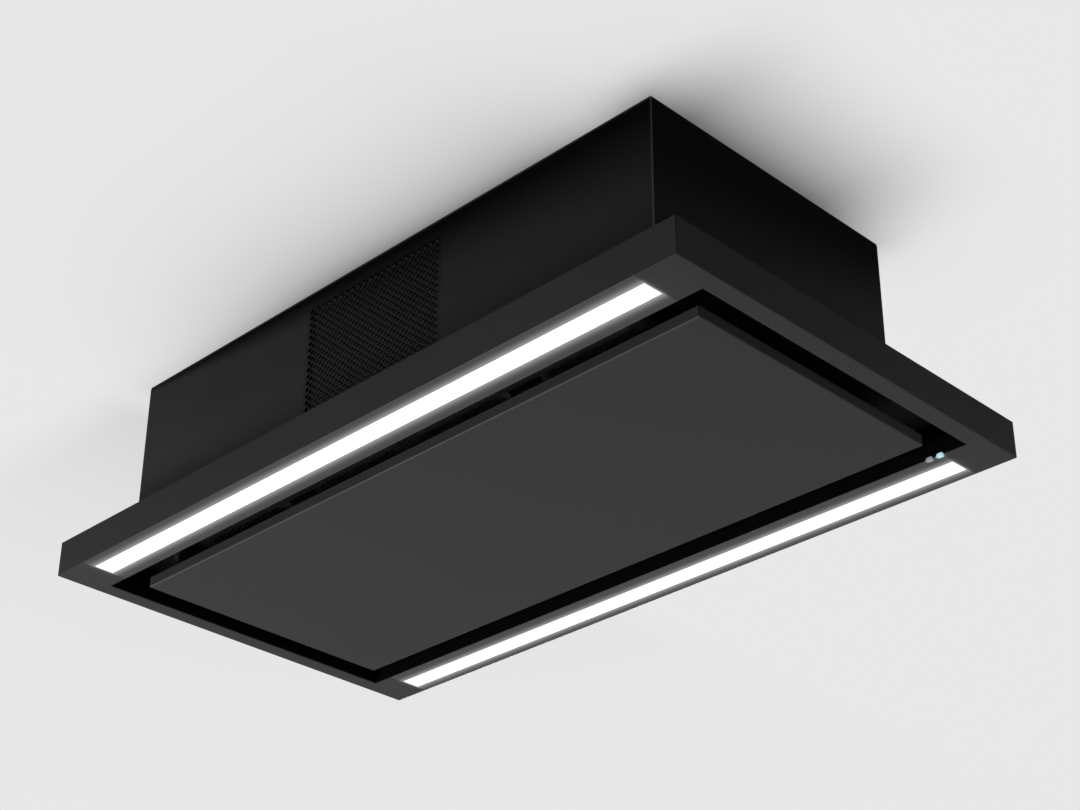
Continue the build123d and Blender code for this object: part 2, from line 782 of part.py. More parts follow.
for side_name, side in sides:
    mid_x = side * hinge_x
    with BuildPart() as hinge_bracket:
        # foot under the deck
        slab(
            mid_x - foot_length / 2,
            mid_x + foot_length / 2,
            hinge_y - ear_back,
            hinge_y + ear_radius,
            deck_under - bracket_sheet,
            deck_under,
        )
        # two ears, rounded about the pin
        for ear_x in (mid_x - ear_offset - bracket_sheet, mid_x + ear_offset):
            with BuildSketch(Plane.YZ.offset(ear_x)):
                with BuildLine():
                    Line(
                        (hinge_y + ear_radius, hinge_z),
                        (hinge_y + ear_radius, deck_under - bracket_sheet),
                    )
                    Line(
                        (hinge_y + ear_radius, deck_under - bracket_sheet),
                        (hinge_y - ear_back, deck_under - bracket_sheet),
                    )
                    Line(
                        (hinge_y - ear_back, deck_under - bracket_sheet),
                        (hinge_y - ear_radius, hinge_z),
                    )
                    ThreePointArc(
                        (hinge_y - ear_radius, hinge_z),
                        (hinge_y, hinge_z - ear_radius),
                        (hinge_y + ear_radius, hinge_z),
                    )
                make_face()
                with Locations((hinge_y, hinge_z)):
                    Circle(hinge_pin_radius + running_gap, mode=Mode.SUBTRACT)
            extrude(amount=bracket_sheet)
    hinge_bracket.part.label = f"hinge_bracket_{side_name}"
    export_step(hinge_bracket.part, f"parts/hinge_bracket_{side_name}.step")

    with BuildPart() as hinge_leaf:
        with BuildSketch(Plane.YZ.offset(mid_x - leaf_width / 2)):
            with Locations((hinge_y - leaf_length / 2, panel_top + leaf_sheet / 2)):
                Rectangle(leaf_length, leaf_sheet)
            with Locations((hinge_y, hinge_z)):
                Circle(hinge_eye_radius)
            with Locations((hinge_y - hinge_eye_radius / 2, (panel_top + hinge_z) / 2)):
                Rectangle(hinge_eye_radius, hinge_rise)
            with Locations((hinge_y, hinge_z)):
                Circle(hinge_pin_radius + running_gap, mode=Mode.SUBTRACT)
        extrude(amount=leaf_width)
    hinge_leaf.part.label = f"hinge_leaf_{side_name}"
    export_step(hinge_leaf.part, f"parts/hinge_leaf_{side_name}.step")

with BuildPart() as hinge_pins:
    for _, side in sides:
        pin_half = ear_offset + bracket_sheet + loose_gap
        with BuildSketch(Plane.YZ.offset(side * hinge_x - pin_half)):
            with Locations((hinge_y, hinge_z)):
                Circle(hinge_pin_radius)
        extrude(amount=2 * pin_half)
        for head_x in (side * hinge_x - pin_half - pin_head, side * hinge_x + pin_half):
            with BuildSketch(Plane.YZ.offset(head_x)):
                with Locations((hinge_y, hinge_z)):
                    Circle(pin_head_radius)
            extrude(amount=pin_head)
hinge_pins.part.label = "hinge_pins"
export_step(hinge_pins.part, "parts/hinge_pins.step")

# ---------------------------------------------------------------- magnets that hold the panel
magnet_inset = 28.0         # from the panel's front corners to the magnets
magnet_radius = 8.0
magnet_thick = 5.0
magnet_proud = 0.4
magnet_air = 0.3            # between magnet and strike
strike_size = 26.0
strike_thick = 1.0
strike_corner = 3.0
holder_radius = 10.5
holder_foot_radius = 16.0
holder_foot_thick = 3.0
magnet_x = panel_length / 2 - magnet_inset
magnet_y = -(panel_width / 2 - magnet_inset)
magnet_places = [(side * magnet_x, magnet_y) for _, side in sides]
magnet_bottom = panel_top + strike_thick + magnet_air
holder_bottom = magnet_bottom + magnet_proud

with BuildPart() as magnet_holders:
    post(holder_foot_radius, magnet_places, deck_under - holder_foot_thick, deck_under)
    post(holder_radius, magnet_places, holder_bottom, deck_under - holder_foot_thick)
    post(
        magnet_radius + loose_gap,
        magnet_places,
        holder_bottom,
        magnet_bottom + magnet_thick,
        mode=Mode.SUBTRACT,
    )
magnet_holders.part.label = "magnet_holders"
export_step(magnet_holders.part, "parts/magnet_holders.step")

with BuildPart() as panel_magnets:
    post(magnet_radius, magnet_places, magnet_bottom, magnet_bottom + magnet_thick)
panel_magnets.part.label = "panel_magnets"
export_step(panel_magnets.part, "parts/panel_magnets.step")

with BuildPart() as panel_strikes:
    with BuildSketch(Plane.XY.offset(panel_top)):
        with Locations(*magnet_places):
            RectangleRounded(strike_size, strike_size, strike_corner)
    extrude(amount=strike_thick)
panel_strikes.part.label = "panel_strikes"
export_step(panel_strikes.part, "parts/panel_strikes.step")

# ---------------------------------------------------------------- blower scroll
# The scroll's wall is four quarter arcs, struck from the corners of a small square about the
# fan's axis, each one square side shorter in radius than the one before.
fan_radius = 85.0
fan_height = 108.0
fan_floor_gap = 6.0         # under the fan, inside the scroll
fan_roof_gap = 13.6         # over the fan
plenum_height = 32.0        # from the tray's deck up to the scroll
blower_back_gap = 5.6       # between the scroll's flange and the casing's back
scroll_square = 18.0
scroll_cutoff = 8.0         # gap between the fan and the nearest part of the wall
scroll_wall = 2.2
scroll_flange = 5.0
scroll_flange_thick = 2.0
tongue_angle = 20.0
mouth_reach = 27.0          # from the fan's rim to the mouth of the scroll
blade_depth = 12.0          # across the ring of blades
eye_gap = 1.4               # between the inlet ring and the blades
ring_wall = 1.6
ring_hole_margin = 6.0      # the scroll's hole is this much wider than the inlet
half_square = scroll_square / 2
arc_four = fan_radius + scroll_cutoff + 5 * half_square
arc_three = arc_four - scroll_square
arc_two = arc_three - scroll_square
arc_one = arc_two - scroll_square
scroll_left = -(arc_four + half_square)
tongue_x = half_square - arc_one * sin(radians(tongue_angle))
tongue_y = -half_square - arc_one * cos(radians(tongue_angle))
fan_x = -(scroll_left + tongue_x) / 2       # puts the scroll's mouth in the middle of the hood
mouth_drop = fan_radius + mouth_reach
blade_inner = fan_radius - blade_depth
inlet_radius = blade_inner - eye_gap - ring_wall
inlet_hole_radius = inlet_radius + ring_hole_margin
fan_y = (
    casing_inner_back
    - blower_back_gap
    - scroll_flange
    - scroll_wall
    - (arc_three + half_square)
)
scroll_bottom = tray_top + plenum_height
scroll_height = fan_height + fan_floor_gap + fan_roof_gap + 2 * scroll_wall
scroll_top = scroll_bottom + scroll_height
scroll_split = (scroll_bottom + scroll_top) / 2
scroll_mouth_y = fan_y - mouth_drop
fan_origin = (fan_x, fan_y, 0)


def scroll_outline(mouth_extra=0.0):
    """Inner outline of the scroll about the fan's axis, with its mouth towards -Y."""
    mouth_y = -mouth_drop - mouth_extra
    with BuildLine() as outline:
        Line((tongue_x, tongue_y), (tongue_x, mouth_y))
        Line((tongue_x, mouth_y), (scroll_left, mouth_y))
        Line((scroll_left, mouth_y), (scroll_left, -half_square))
        CenterArc((-half_square, -half_square), arc_four, 90, 90)
        CenterArc((-half_square, half_square), arc_three, 0, 90)
        CenterArc((half_square, half_square), arc_two, -90, 90)
        CenterArc((half_square, -half_square), arc_one, -90 - tongue_angle, tongue_angle)
    make_face(outline.edges())


def scroll_half(z_low, z_high, flange_low, flange_high, cavity_low, cavity_high):
    """One moulded half of the scroll: wall, floor or roof, and the flange at the joint."""
    with BuildSketch(Plane((fan_x, fan_y, z_low))) as wall_outline:
        scroll_outline()
        offset(amount=scroll_wall, kind=Kind.INTERSECTION)
    extrude(wall_outline.sketch, amount=z_high - z_low)
    with BuildSketch(Plane((fan_x, fan_y, flange_low))) as flange_outline:
        scroll_outline()
        offset(amount=scroll_wall + scroll_flange, kind=Kind.ARC)
    extrude(flange_outline.sketch, amount=flange_high - flange_low)
    with BuildSketch(Plane((fan_x, fan_y, cavity_low))) as cavity_outline:
        scroll_outline(mouth_extra=2 * scroll_flange + scroll_wall)
    extrude(cavity_outline.sketch, amount=cavity_high - cavity_low, mode=Mode.SUBTRACT)
    # square off the mouth, so that the duct meets a flat end
    slab(
        fan_x + scroll_left - 2 * scroll_flange - scroll_wall,
        fan_x + tongue_x + 2 * scroll_flange + scroll_wall,
        scroll_mouth_y - 2 * scroll_flange - scroll_wall,
        scroll_mouth_y,
        z_low,
        z_high,
        mode=Mode.SUBTRACT,
    )


with BuildPart() as scroll_lower:
    scroll_half(
        scroll_bottom,
        scroll_split,
        scroll_split - scroll_flange_thick,
        scroll_split,
        scroll_bottom + scroll_wall,
        scroll_split,
    )
    post(
        inlet_hole_radius,
        [(fan_x, fan_y)],
        scroll_bottom,
        scroll_bottom + scroll_wall,
        mode=Mode.SUBTRACT,
    )
scroll_lower.part.label = "scroll_lower"
export_step(scroll_lower.part, "parts/scroll_lower.step")

motor_radius = 38.0
motor_clear = 3.0
with BuildPart() as scroll_upper:
    scroll_half(
        scroll_split,
        scroll_top,
        scroll_split,
        scroll_split + scroll_flange_thick,
        scroll_split,
        scroll_top - scroll_wall,
    )
    post(
        motor_radius + motor_clear,
        [(fan_x, fan_y)],
        scroll_top - scroll_wall,
        scroll_top,
        mode=Mode.SUBTRACT,
    )
scroll_upper.part.label = "scroll_upper"
export_step(scroll_upper.part, "parts/scroll_upper.step")

# Bell mouth that leads the air into the fan's eye.
ring_rise = 11.0
ring_flange = 6.0
ring_flange_radius = inlet_hole_radius + ring_flange
axis_plane = Plane(origin=fan_origin, x_dir=(1, 0, 0), z_dir=(0, -1, 0))
fan_axis = Axis(fan_origin, (0, 0, 1))
with BuildPart() as inlet_ring:
    with BuildSketch(axis_plane):
        with BuildLine():
            Polyline(
                (ring_flange_radius, scroll_bottom),
                (inlet_hole_radius - loose_gap, scroll_bottom),
                (inlet_radius + ring_wall, scroll_bottom + ring_rise),
                (inlet_radius, scroll_bottom + ring_rise),
                (inlet_hole_radius - loose_gap - ring_wall, scroll_bottom - ring_wall),
                (ring_flange_radius, scroll_bottom - ring_wall),
                close=True,
            )
        make_face()
    revolve(axis=fan_axis)
inlet_ring.part.label = "inlet_ring"
export_step(inlet_ring.part, "parts/inlet_ring.step")

# ---------------------------------------------------------------- fan, shaft and motor
fan_bottom = scroll_bottom + scroll_wall + fan_floor_gap
fan_top = fan_bottom + fan_height
blade_count = 28
blade_thick_angle = 1.0
blade_bow_angle = 0.8
blade_lead_angle = 5.0
blade_rim_gap = 0.5         # the blades end this far inside the rings' rims
ring_margin = 1.5           # the inlet-side ring starts this far outside the blades' inner edge
cup_gap = 6.0               # between the motor and the cup round it
cup_wall = 2.0
cup_depth = 58.0
rim_thick = 2.0
hub_wall = 5.0
hub_height = 9.0
shaft_radius = 4.0
shaft_above = 2.0           # the shaft's top over the scroll's roof
shaft_below = 8.0           # the shaft's end under the hub
shaft_chamfer = 0.5
ring_inner = blade_inner + ring_margin
cup_radius = motor_radius + cup_gap
hub_radius = shaft_radius + hub_wall
shaft_top = scroll_top + shaft_above
cup_floor = fan_top - cup_depth
shaft_bottom = cup_floor - hub_height - shaft_below


def polar(radius, angle):
    """The point at a radius and an angle in degrees about the fan's axis."""
    return (radius * cos(radians(angle)), radius * sin(radians(angle)))


# each blade is bent once at its middle, which stands for its curve
blade_middle = (blade_inner + fan_radius) / 2
blade_outer = fan_radius - blade_rim_gap
with BuildSketch() as blade_section:
    with BuildLine():
        Polyline(
            polar(blade_inner, 0),
            polar(blade_middle, blade_bow_angle),
            polar(blade_outer, blade_lead_angle),
            polar(blade_outer, blade_lead_angle + blade_thick_angle),
            polar(blade_middle, blade_bow_angle + blade_thick_angle),
            polar(blade_inner, blade_thick_angle),
            close=True,
        )
    make_face()

with BuildPart() as impeller:
    # back plate, cup round the motor and hub
    with BuildSketch(axis_plane):
        with BuildLine():
            Polyline(
                (fan_radius, fan_top),
                (cup_radius, fan_top),
                (cup_radius, cup_floor + cup_wall),
                (hub_radius, cup_floor + cup_wall),
                (shaft_radius + press_gap, cup_floor + cup_wall),
                (shaft_radius + press_gap, cup_floor - hub_height),
                (hub_radius, cup_floor - hub_height),
                (hub_radius, cup_floor),
                (cup_radius + cup_wall, cup_floor),
                (cup_radius + cup_wall, fan_top - rim_thick),
                (fan_radius, fan_top - rim_thick),
                close=True,
            )
        make_face()
    revolve(axis=fan_axis)
    # ring that ties the blades at the inlet side
    with BuildSketch(Plane((fan_x, fan_y, fan_bottom))):
        Circle(fan_radius)
        Circle(ring_inner, mode=Mode.SUBTRACT)
    extrude(amount=rim_thick)
    with BuildSketch(Plane((fan_x, fan_y, fan_bottom + rim_thick / 2))):
        with PolarLocations(0, blade_count):
            add(blade_section.sketch)
    extrude(amount=fan_height - rim_thick)
impeller.part.label = "impeller"
export_step(impeller.part, "parts/impeller.step")

nut_across = 13.0
nut_height = 6.0
with BuildPart() as motor_shaft:
    post(shaft_radius, [(fan_x, fan_y)], shaft_bottom, shaft_top)
    chamfer(motor_shaft.edges().filter_by(GeomType.CIRCLE), length=shaft_chamfer)
motor_shaft.part.label = "motor_shaft"
export_step(motor_shaft.part, "parts/motor_shaft.step")

with BuildPart() as impeller_nut:
    nut_plane = Plane((fan_x, fan_y, cup_floor - hub_height - nut_height))
    with BuildSketch(nut_plane):
        RegularPolygon(nut_across / 2, 6, major_radius=False)
        Circle(shaft_radius + press_gap, mode=Mode.SUBTRACT)
    extrude(amount=nut_height)
impeller_nut.part.label = "impeller_nut"
export_step(impeller_nut.part, "parts/impeller_nut.step")

mount_gap = 6.0             # the rubber mounts' height
motor_bottom = cup_floor + cup_wall + cup_gap
motor_top = scroll_top + mount_gap
bearing_wall = 4.0
bearing_length = 8.0
bore_gap = 1.0              # round the shaft, inside the motor
bearing_radius = shaft_radius + bearing_wall
motor_bore = shaft_radius + bore_gap
end_bell = 5.0
with BuildPart() as motor_housing:
    with BuildSketch(axis_plane):
        with BuildLine():
            Polyline(
                (motor_bore, motor_bottom),
                (motor_radius - 2 * end_bell, motor_bottom),
                (motor_radius, motor_bottom + end_bell),
                (motor_radius, motor_top - end_bell),
                (motor_radius - end_bell, motor_top),
                (motor_bore, motor_top),
                close=True,
            )
        make_face()
    revolve(axis=fan_axis)
    for pocket_low, pocket_high in (
        (motor_bottom, motor_bottom + bearing_length),
        (motor_top - bearing_length, motor_top),
    ):
        post(bearing_radius, [(fan_x, fan_y)], pocket_low, pocket_high, mode=Mode.SUBTRACT)
motor_housing.part.label = "motor_housing"
export_step(motor_housing.part, "parts/motor_housing.step")

with BuildPart() as motor_bearings:
    for bearing_low in (motor_bottom, motor_top - bearing_length):
        post(bearing_radius - press_gap, [(fan_x, fan_y)], bearing_low, bearing_low + bearing_length)
    post(
        shaft_radius + running_gap,
        [(fan_x, fan_y)],
        motor_bottom,
        motor_top,
        mode=Mode.SUBTRACT,
    )
motor_bearings.part.label = "motor_bearings"
export_step(motor_bearings.part, "parts/motor_bearings.step")

# Three-armed bracket that hangs the motor from the scroll's roof on rubber mounts.
arm_count = 3
arm_overhang = 24.0         # from the motor's side to the mounts' axes
arm_width = 22.0
arm_end_radius = 11.0
hub_inset = 4.0
hub_eye_margin = 2.0
mount_radius = 8.0
mount_bore = 2.6
arm_start = 90
arm_reach = motor_radius + arm_overhang
bracket_hub = motor_radius - hub_inset
with BuildPart() as motor_bracket:
    with BuildSketch(Plane((fan_x, fan_y, motor_top))):
        Circle(bracket_hub)
        with PolarLocations(arm_reach / 2, arm_count, start_angle=arm_start):
            Rectangle(arm_reach, arm_width)
        with PolarLocations(arm_reach, arm_count, start_angle=arm_start):
            Circle(arm_end_radius)
        with PolarLocations(arm_reach, arm_count, start_angle=arm_start):
            Circle(mount_bore, mode=Mode.SUBTRACT)
        Circle(bearing_radius + hub_eye_margin, mode=Mode.SUBTRACT)
    extrude(amount=bracket_sheet)
motor_bracket.part.label = "motor_bracket"
export_step(motor_bracket.part, "parts/motor_bracket.step")

with BuildPart() as motor_mounts:
    with BuildSketch(Plane((fan_x, fan_y, scroll_top))):
        with PolarLocations(arm_reach, arm_count, start_angle=arm_start):
            Circle(mount_radius)
            Circle(mount_bore, mode=Mode.SUBTRACT)
    extrude(amount=mount_gap)
motor_mounts.part.label = "motor_mounts"
export_step(motor_mounts.part, "parts/motor_mounts.step")

# Pillars that hang the scroll from the ceiling plate.
pillar_inset = 23.0         # inside the fan's radius, along X and Y
pillar_radius = 6.0
pillar_spread = 2 * (fan_radius - pillar_inset)
with BuildPart() as blower_pillars:
    with BuildSketch(Plane((fan_x, fan_y, scroll_top))):
        with GridLocations(pillar_spread, pillar_spread, 2, 2):
            RegularPolygon(pillar_radius, 6)
    extrude(amount=wall_top - scroll_top)
blower_pillars.part.label = "blower_pillars"
export_step(blower_pillars.part, "parts/blower_pillars.step")

# ---------------------------------------------------------------- outlet duct and charcoal
duct_wall = 1.6
charcoal_border = 3.0       # the cassette is this much larger than the perforated stretch
charcoal_depth = 17.0
charcoal_rim = 6.0
block_inset = 1.0           # the block's face behind the cassette's
gasket_lap = 1.0            # the gasket reaches this far inside the collar
gasket_thick = 3.0
collar_half_x = grille_width / 2 + charcoal_border + loose_gap
collar_half_z = grille_height / 2 + charcoal_border + loose_gap
collar_front_y = casing_inner_front + gasket_thick
collar_back_y = collar_front_y + charcoal_depth + loose_gap
duct_mouth_x = (tongue_x - scroll_left) / 2
duct_mouth_z = scroll_height / 2 - scroll_wall
duct_mid_z = scroll_split


def duct_loft(grow, mode):
    """Tapered passage from the scroll's mouth to the charcoal collar, grown by its wall."""
    with BuildSketch(Plane.XZ.offset(-scroll_mouth_y)) as back_end:
        with Locations((0, duct_mid_z)):
            Rectangle(2 * (duct_mouth_x + grow), 2 * (duct_mouth_z + grow))
    with BuildSketch(Plane.XZ.offset(-collar_back_y)) as front_end:
        with Locations((0, grille_mid_z)):
            Rectangle(
                2 * (collar_half_x - charcoal_rim + grow), 2 * (collar_half_z - charcoal_rim + grow)
            )
    loft([back_end.sketch, front_end.sketch], ruled=True, mode=mode)


with BuildPart() as outlet_duct:
    duct_loft(duct_wall, Mode.ADD)
    with BuildSketch(Plane.XZ.offset(-collar_back_y - duct_wall)):
        with Locations((0, grille_mid_z)):
            Rectangle(2 * (collar_half_x + duct_wall), 2 * (collar_half_z + duct_wall))
    extrude(amount=collar_back_y + duct_wall - collar_front_y)
    with BuildSketch(Plane.XZ.offset(-collar_back_y)):
        with Locations((0, grille_mid_z)):
            Rectangle(2 * collar_half_x, 2 * collar_half_z)
    extrude(amount=collar_back_y - collar_front_y + duct_wall, mode=Mode.SUBTRACT)
    duct_loft(0, Mode.SUBTRACT)
outlet_duct.part.label = "outlet_duct"
export_step(outlet_duct.part, "parts/outlet_duct.step")

with BuildPart() as charcoal_frame:
    with BuildSketch(Plane.XZ.offset(-collar_back_y)):
        with Locations((0, grille_mid_z)):
            Rectangle(2 * (collar_half_x - loose_gap), 2 * (collar_half_z - loose_gap))
            Rectangle(
                2 * (collar_half_x - charcoal_rim),
                2 * (collar_half_z - charcoal_rim),
                mode=Mode.SUBTRACT,
            )
    extrude(amount=charcoal_depth)
charcoal_frame.part.label = "charcoal_frame"
export_step(charcoal_frame.part, "parts/charcoal_frame.step")

with BuildPart() as charcoal_block:
    with BuildSketch(Plane.XZ.offset(-collar_back_y)):
        with Locations((0, grille_mid_z)):
            Rectangle(
                2 * (collar_half_x - charcoal_rim - loose_gap),
                2 * (collar_half_z - charcoal_rim - loose_gap),
            )
    extrude(amount=charcoal_depth - block_inset)
charcoal_block.part.label = "charcoal_block"
export_step(charcoal_block.part, "parts/charcoal_block.step")

with BuildPart() as duct_gasket:
    with BuildSketch(Plane.XZ.offset(-collar_front_y)):
        with Locations((0, grille_mid_z)):
            Rectangle(2 * (collar_half_x + duct_wall), 2 * (collar_half_z + duct_wall))
            Rectangle(
                2 * (collar_half_x - gasket_lap), 2 * (collar_half_z - gasket_lap), mode=Mode.SUBTRACT
            )
    extrude(amount=gasket_thick)
duct_gasket.part.label = "duct_gasket"
export_step(duct_gasket.part, "parts/duct_gasket.step")

# ---------------------------------------------------------------- electronics
control_inset = 78.0        # from the casing's left end to the control box
control_length = 150.0
control_width = 110.0
control_height = 52.0
control_wall = 1.5
control_mid_y = 0.0
standoff_height = 9.0
standoff_radius = 3.5
standoff_inset = 6.0        # from the board's edges to the standoffs
board_margin = 6.0
box_corner = 4.0
rim_corner = 2.2
lid_rim = 3.0
control_mid_x = -casing_end_x + control_inset + control_length / 2
control_bottom = wall_top - control_height
control_board_top = wall_top - control_wall - standoff_height
board_half_x = control_length / 2 - control_wall - board_margin
board_half_y = control_width / 2 - control_wall - board_margin

with BuildPart() as control_box:
    with BuildSketch(Plane.XY.offset(control_bottom)):
        with Locations((control_mid_x, control_mid_y)):
            RectangleRounded(control_length, control_width, box_corner)
    extrude(amount=control_height)
    offset(amount=-control_wall, openings=control_box.faces().sort_by(Axis.Z)[0])
    with BuildSketch(Plane.XY.offset(control_board_top)):
        with Locations((control_mid_x, control_mid_y)):
            with GridLocations(
                2 * (board_half_x - standoff_inset), 2 * (board_half_y - standoff_inset), 2, 2
            ):
                Circle(standoff_radius)
    extrude(amount=standoff_height)
control_box.part.label = "control_box"
export_step(control_box.part, "parts/control_box.step")

with BuildPart() as control_lid:
    with BuildSketch(Plane.XY.offset(control_bottom - control_wall)):
        with Locations((control_mid_x, control_mid_y)):
            RectangleRounded(control_length, control_width, box_corner)
    extrude(amount=control_wall)
    with BuildSketch(Plane.XY.offset(control_bottom)):
        with Locations((control_mid_x, control_mid_y)):
            RectangleRounded(
                control_length - 2 * (control_wall + loose_gap),
                control_width - 2 * (control_wall + loose_gap),
                rim_corner,
            )
            Rectangle(
                control_length - 4 * (control_wall + loose_gap),
                control_width - 4 * (control_wall + loose_gap),
                mode=Mode.SUBTRACT,
            )
    extrude(amount=lid_rim)
control_lid.part.label = "control_lid"
export_step(control_lid.part, "parts/control_lid.step")

# The board hangs from the standoffs; each component is set from the board's corner or edge.
component_inset = 6.0       # from the board's edges to the components
transformer_length = 34.0
transformer_width = 28.0
transformer_height = 24.0
relay_length = 20.0
relay_width = 16.0
relay_height = 15.0
relay_pitch = 24.0
relay_count = 3
capacitor_radius = 6.0
capacitor_height = 20.0
capacitor_pitch = 18.0
terminal_count = 6
terminal_pitch = 9.0
terminal_depth = 14.0
terminal_height = 16.0
terminal_well_x = 6.0
terminal_well_y = 9.0
parts_level = control_board_top - board_thick
board_left = control_mid_x - board_half_x
board_right = control_mid_x + board_half_x
board_front = control_mid_y - board_half_y
board_back = control_mid_y + board_half_y
terminal_length = terminal_count * terminal_pitch
relay_span = (relay_count - 1) * relay_pitch + relay_length
capacitor_x = board_left + component_inset + capacitor_radius + capacitor_pitch / 2
capacitor_y = board_back - component_inset - capacitor_radius

with BuildPart() as control_board:
    slab(board_left, board_right, board_front, board_back, parts_level, control_board_top)
    slab(
        board_left + component_inset,
        board_left + component_inset + transformer_length,
        board_front + component_inset,
        board_front + component_inset + transformer_width,
        parts_level - transformer_height,
        parts_level,
    )
    relay_x = board_right - component_inset - relay_span / 2
    relay_y = board_front + component_inset + relay_width / 2
    with BuildSketch(Plane.XY.offset(parts_level - relay_height)):
        with Locations((relay_x, relay_y)):
            with GridLocations(relay_pitch, 1, relay_count, 1):
                Rectangle(relay_length, relay_width)
    extrude(amount=relay_height)
    with BuildSketch(Plane.XY.offset(parts_level - capacitor_height)):
        with Locations((capacitor_x, capacitor_y)):
            with GridLocations(capacitor_pitch, 1, 2, 1):
                Circle(capacitor_radius)
    extrude(amount=capacitor_height)
control_board.part.label = "control_board"
export_step(control_board.part, "parts/control_board.step")

with BuildPart() as terminal_block:
    terminal_x = board_right - component_inset - terminal_length / 2
    terminal_y = board_back - component_inset - terminal_depth / 2
    slab(
        terminal_x - terminal_length / 2,
        terminal_x + terminal_length / 2,
        terminal_y - terminal_depth / 2,
        terminal_y + terminal_depth / 2,
        parts_level - terminal_height,
        parts_level,
    )
    with BuildSketch(Plane.XY.offset(parts_level - terminal_height)):
        with Locations((terminal_x, terminal_y)):
            with GridLocations(terminal_pitch, 1, terminal_count, 1):
                Rectangle(terminal_well_x, terminal_well_y)
    extrude(amount=terminal_height / 2, mode=Mode.SUBTRACT)
terminal_block.part.label = "terminal_block"
export_step(terminal_block.part, "parts/terminal_block.step")

driver_length = 140.0
driver_width = 40.0
driver_height = 26.0
driver_ear = 10.0
driver_ear_thick = 3.0
driver_corner = 3.0
driver_hole = 2.0
driver_inset = 148.0        # from the casing's left end to the driver's middle
driver_front_gap = 96.0     # from the casing's front to the driver's middle
driver_mid_x = -casing_end_x + driver_inset
driver_mid_y = casing_front_y + driver_front_gap
with BuildPart() as lamp_driver:
    with BuildSketch(Plane.XY.offset(wall_top - driver_height)):
        with Locations((driver_mid_x, driver_mid_y)):
            RectangleRounded(driver_length, driver_width, driver_corner)
    extrude(amount=driver_height)
    with BuildSketch(Plane.XY.offset(wall_top - driver_ear_thick)):
        with Locations((driver_mid_x, driver_mid_y)):
            Rectangle(driver_length + 2 * driver_ear, driver_width / 2)
            with GridLocations(driver_length + driver_ear, 1, 2, 1):
                Circle(driver_hole, mode=Mode.SUBTRACT)
    extrude(amount=driver_ear_thick)
lamp_driver.part.label = "lamp_driver"
export_step(lamp_driver.part, "parts/lamp_driver.step")
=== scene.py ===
# %% [markdown]
# # A ceiling range hood, seen from below
# The hood is a flat black tray under a narrower casing that is bolted to the ceiling. A large
# panel closes the tray's mouth, and air goes in through the slot round it. This notebook takes
# the engineering model as a fixed frame and gives it its looks: finer sheet metal for the parts
# that a viewer sees first, and a procedural finish for every part, inside and out.

# %% Load the fixed frame
import json
import math

import bmesh
import bpy
from mathutils import Matrix, Vector


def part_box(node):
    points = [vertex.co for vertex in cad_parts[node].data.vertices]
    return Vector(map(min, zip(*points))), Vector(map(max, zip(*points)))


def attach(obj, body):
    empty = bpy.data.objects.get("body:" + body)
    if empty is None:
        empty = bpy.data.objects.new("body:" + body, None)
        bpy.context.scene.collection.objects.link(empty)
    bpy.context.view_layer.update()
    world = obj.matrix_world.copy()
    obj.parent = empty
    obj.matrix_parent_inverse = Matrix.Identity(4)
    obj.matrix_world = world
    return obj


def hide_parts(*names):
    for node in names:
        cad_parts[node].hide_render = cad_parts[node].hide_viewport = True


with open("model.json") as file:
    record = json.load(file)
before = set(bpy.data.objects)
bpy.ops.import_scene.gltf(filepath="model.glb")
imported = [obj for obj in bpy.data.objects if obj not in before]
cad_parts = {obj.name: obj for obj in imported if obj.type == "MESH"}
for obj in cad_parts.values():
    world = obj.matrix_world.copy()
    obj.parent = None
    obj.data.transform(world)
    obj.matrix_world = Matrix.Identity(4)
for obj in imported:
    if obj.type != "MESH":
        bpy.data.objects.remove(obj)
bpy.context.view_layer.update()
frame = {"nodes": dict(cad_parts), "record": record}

nodes = frame["nodes"]

# %% [markdown]
# ## Sizes taken from the frame
# New pieces, and patterns that follow an edge, have to lie exactly where the frame's parts are. So
# their sizes are read from the boxes round those parts, in metres. Only what no box tells is
# written as a number: the mouth's outline, the lit part of each lamp and the punched stretch.

# %% Sizes
def corners(node):
    """The two corners of a part's box, rounded to a hundredth of a millimetre."""
    low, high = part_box(node)
    return [round(v, 5) for v in low], [round(v, 5) for v in high]

def middle_x(node):
    low, high = corners(node)
    return round((low[0] + high[0]) / 2, 5)

(_, _, TRAY_BOTTOM), (TRAY_X, TRAY_Y, TRAY_TOP) = corners("tray_frame")
(_, _, PANEL_BOTTOM), (PANEL_X, PANEL_Y, PANEL_TOP) = corners("panel_skin")
(_, CASING_FRONT, CASING_FOOT), (CASING_X, _, CASING_TOP) = corners("casing_front")
CASING_BACK = corners("casing_back")[1][1]
CASING_Y = round((CASING_BACK - CASING_FRONT) / 2, 5)
CASING_SHIFT = round((CASING_BACK + CASING_FRONT) / 2, 5)
MOUTH_X, MOUTH_Y = 0.430, 0.194
LAMP_Y, LAMP_HALF_X, LAMP_HALF_Y = 0.224, 0.400, 0.011
GRILLE_X, GRILLE_Z, GRILLE_MID = 0.103, 0.075, -0.095
print("tray", TRAY_X, TRAY_Y, "casing", CASING_X, CASING_Y, "panel", PANEL_X, PANEL_Y)

# %% [markdown]
# ## How colours come out
# The photograph is nearly all greys close to black, so the picture has to show a written colour
# as it is. Filmic view transforms bend the dark end. The Standard transform leaves it alone.

# %% View settings
view = bpy.context.scene.view_settings
view.view_transform = "Standard"
print("view transform:", view.view_transform)

# %% [markdown]
# ## Shader maths as Python
# A finish is a small sum: where am I on the part, how far from the lamp, how strong is the grain.
# Such sums can be wired by hand, node by node, but they are easier to read as expressions. The
# class below wraps one output of a shader tree, and its operators add the Math nodes. The swapped
# forms are for sums that start with a plain number, such as 1 - mask.

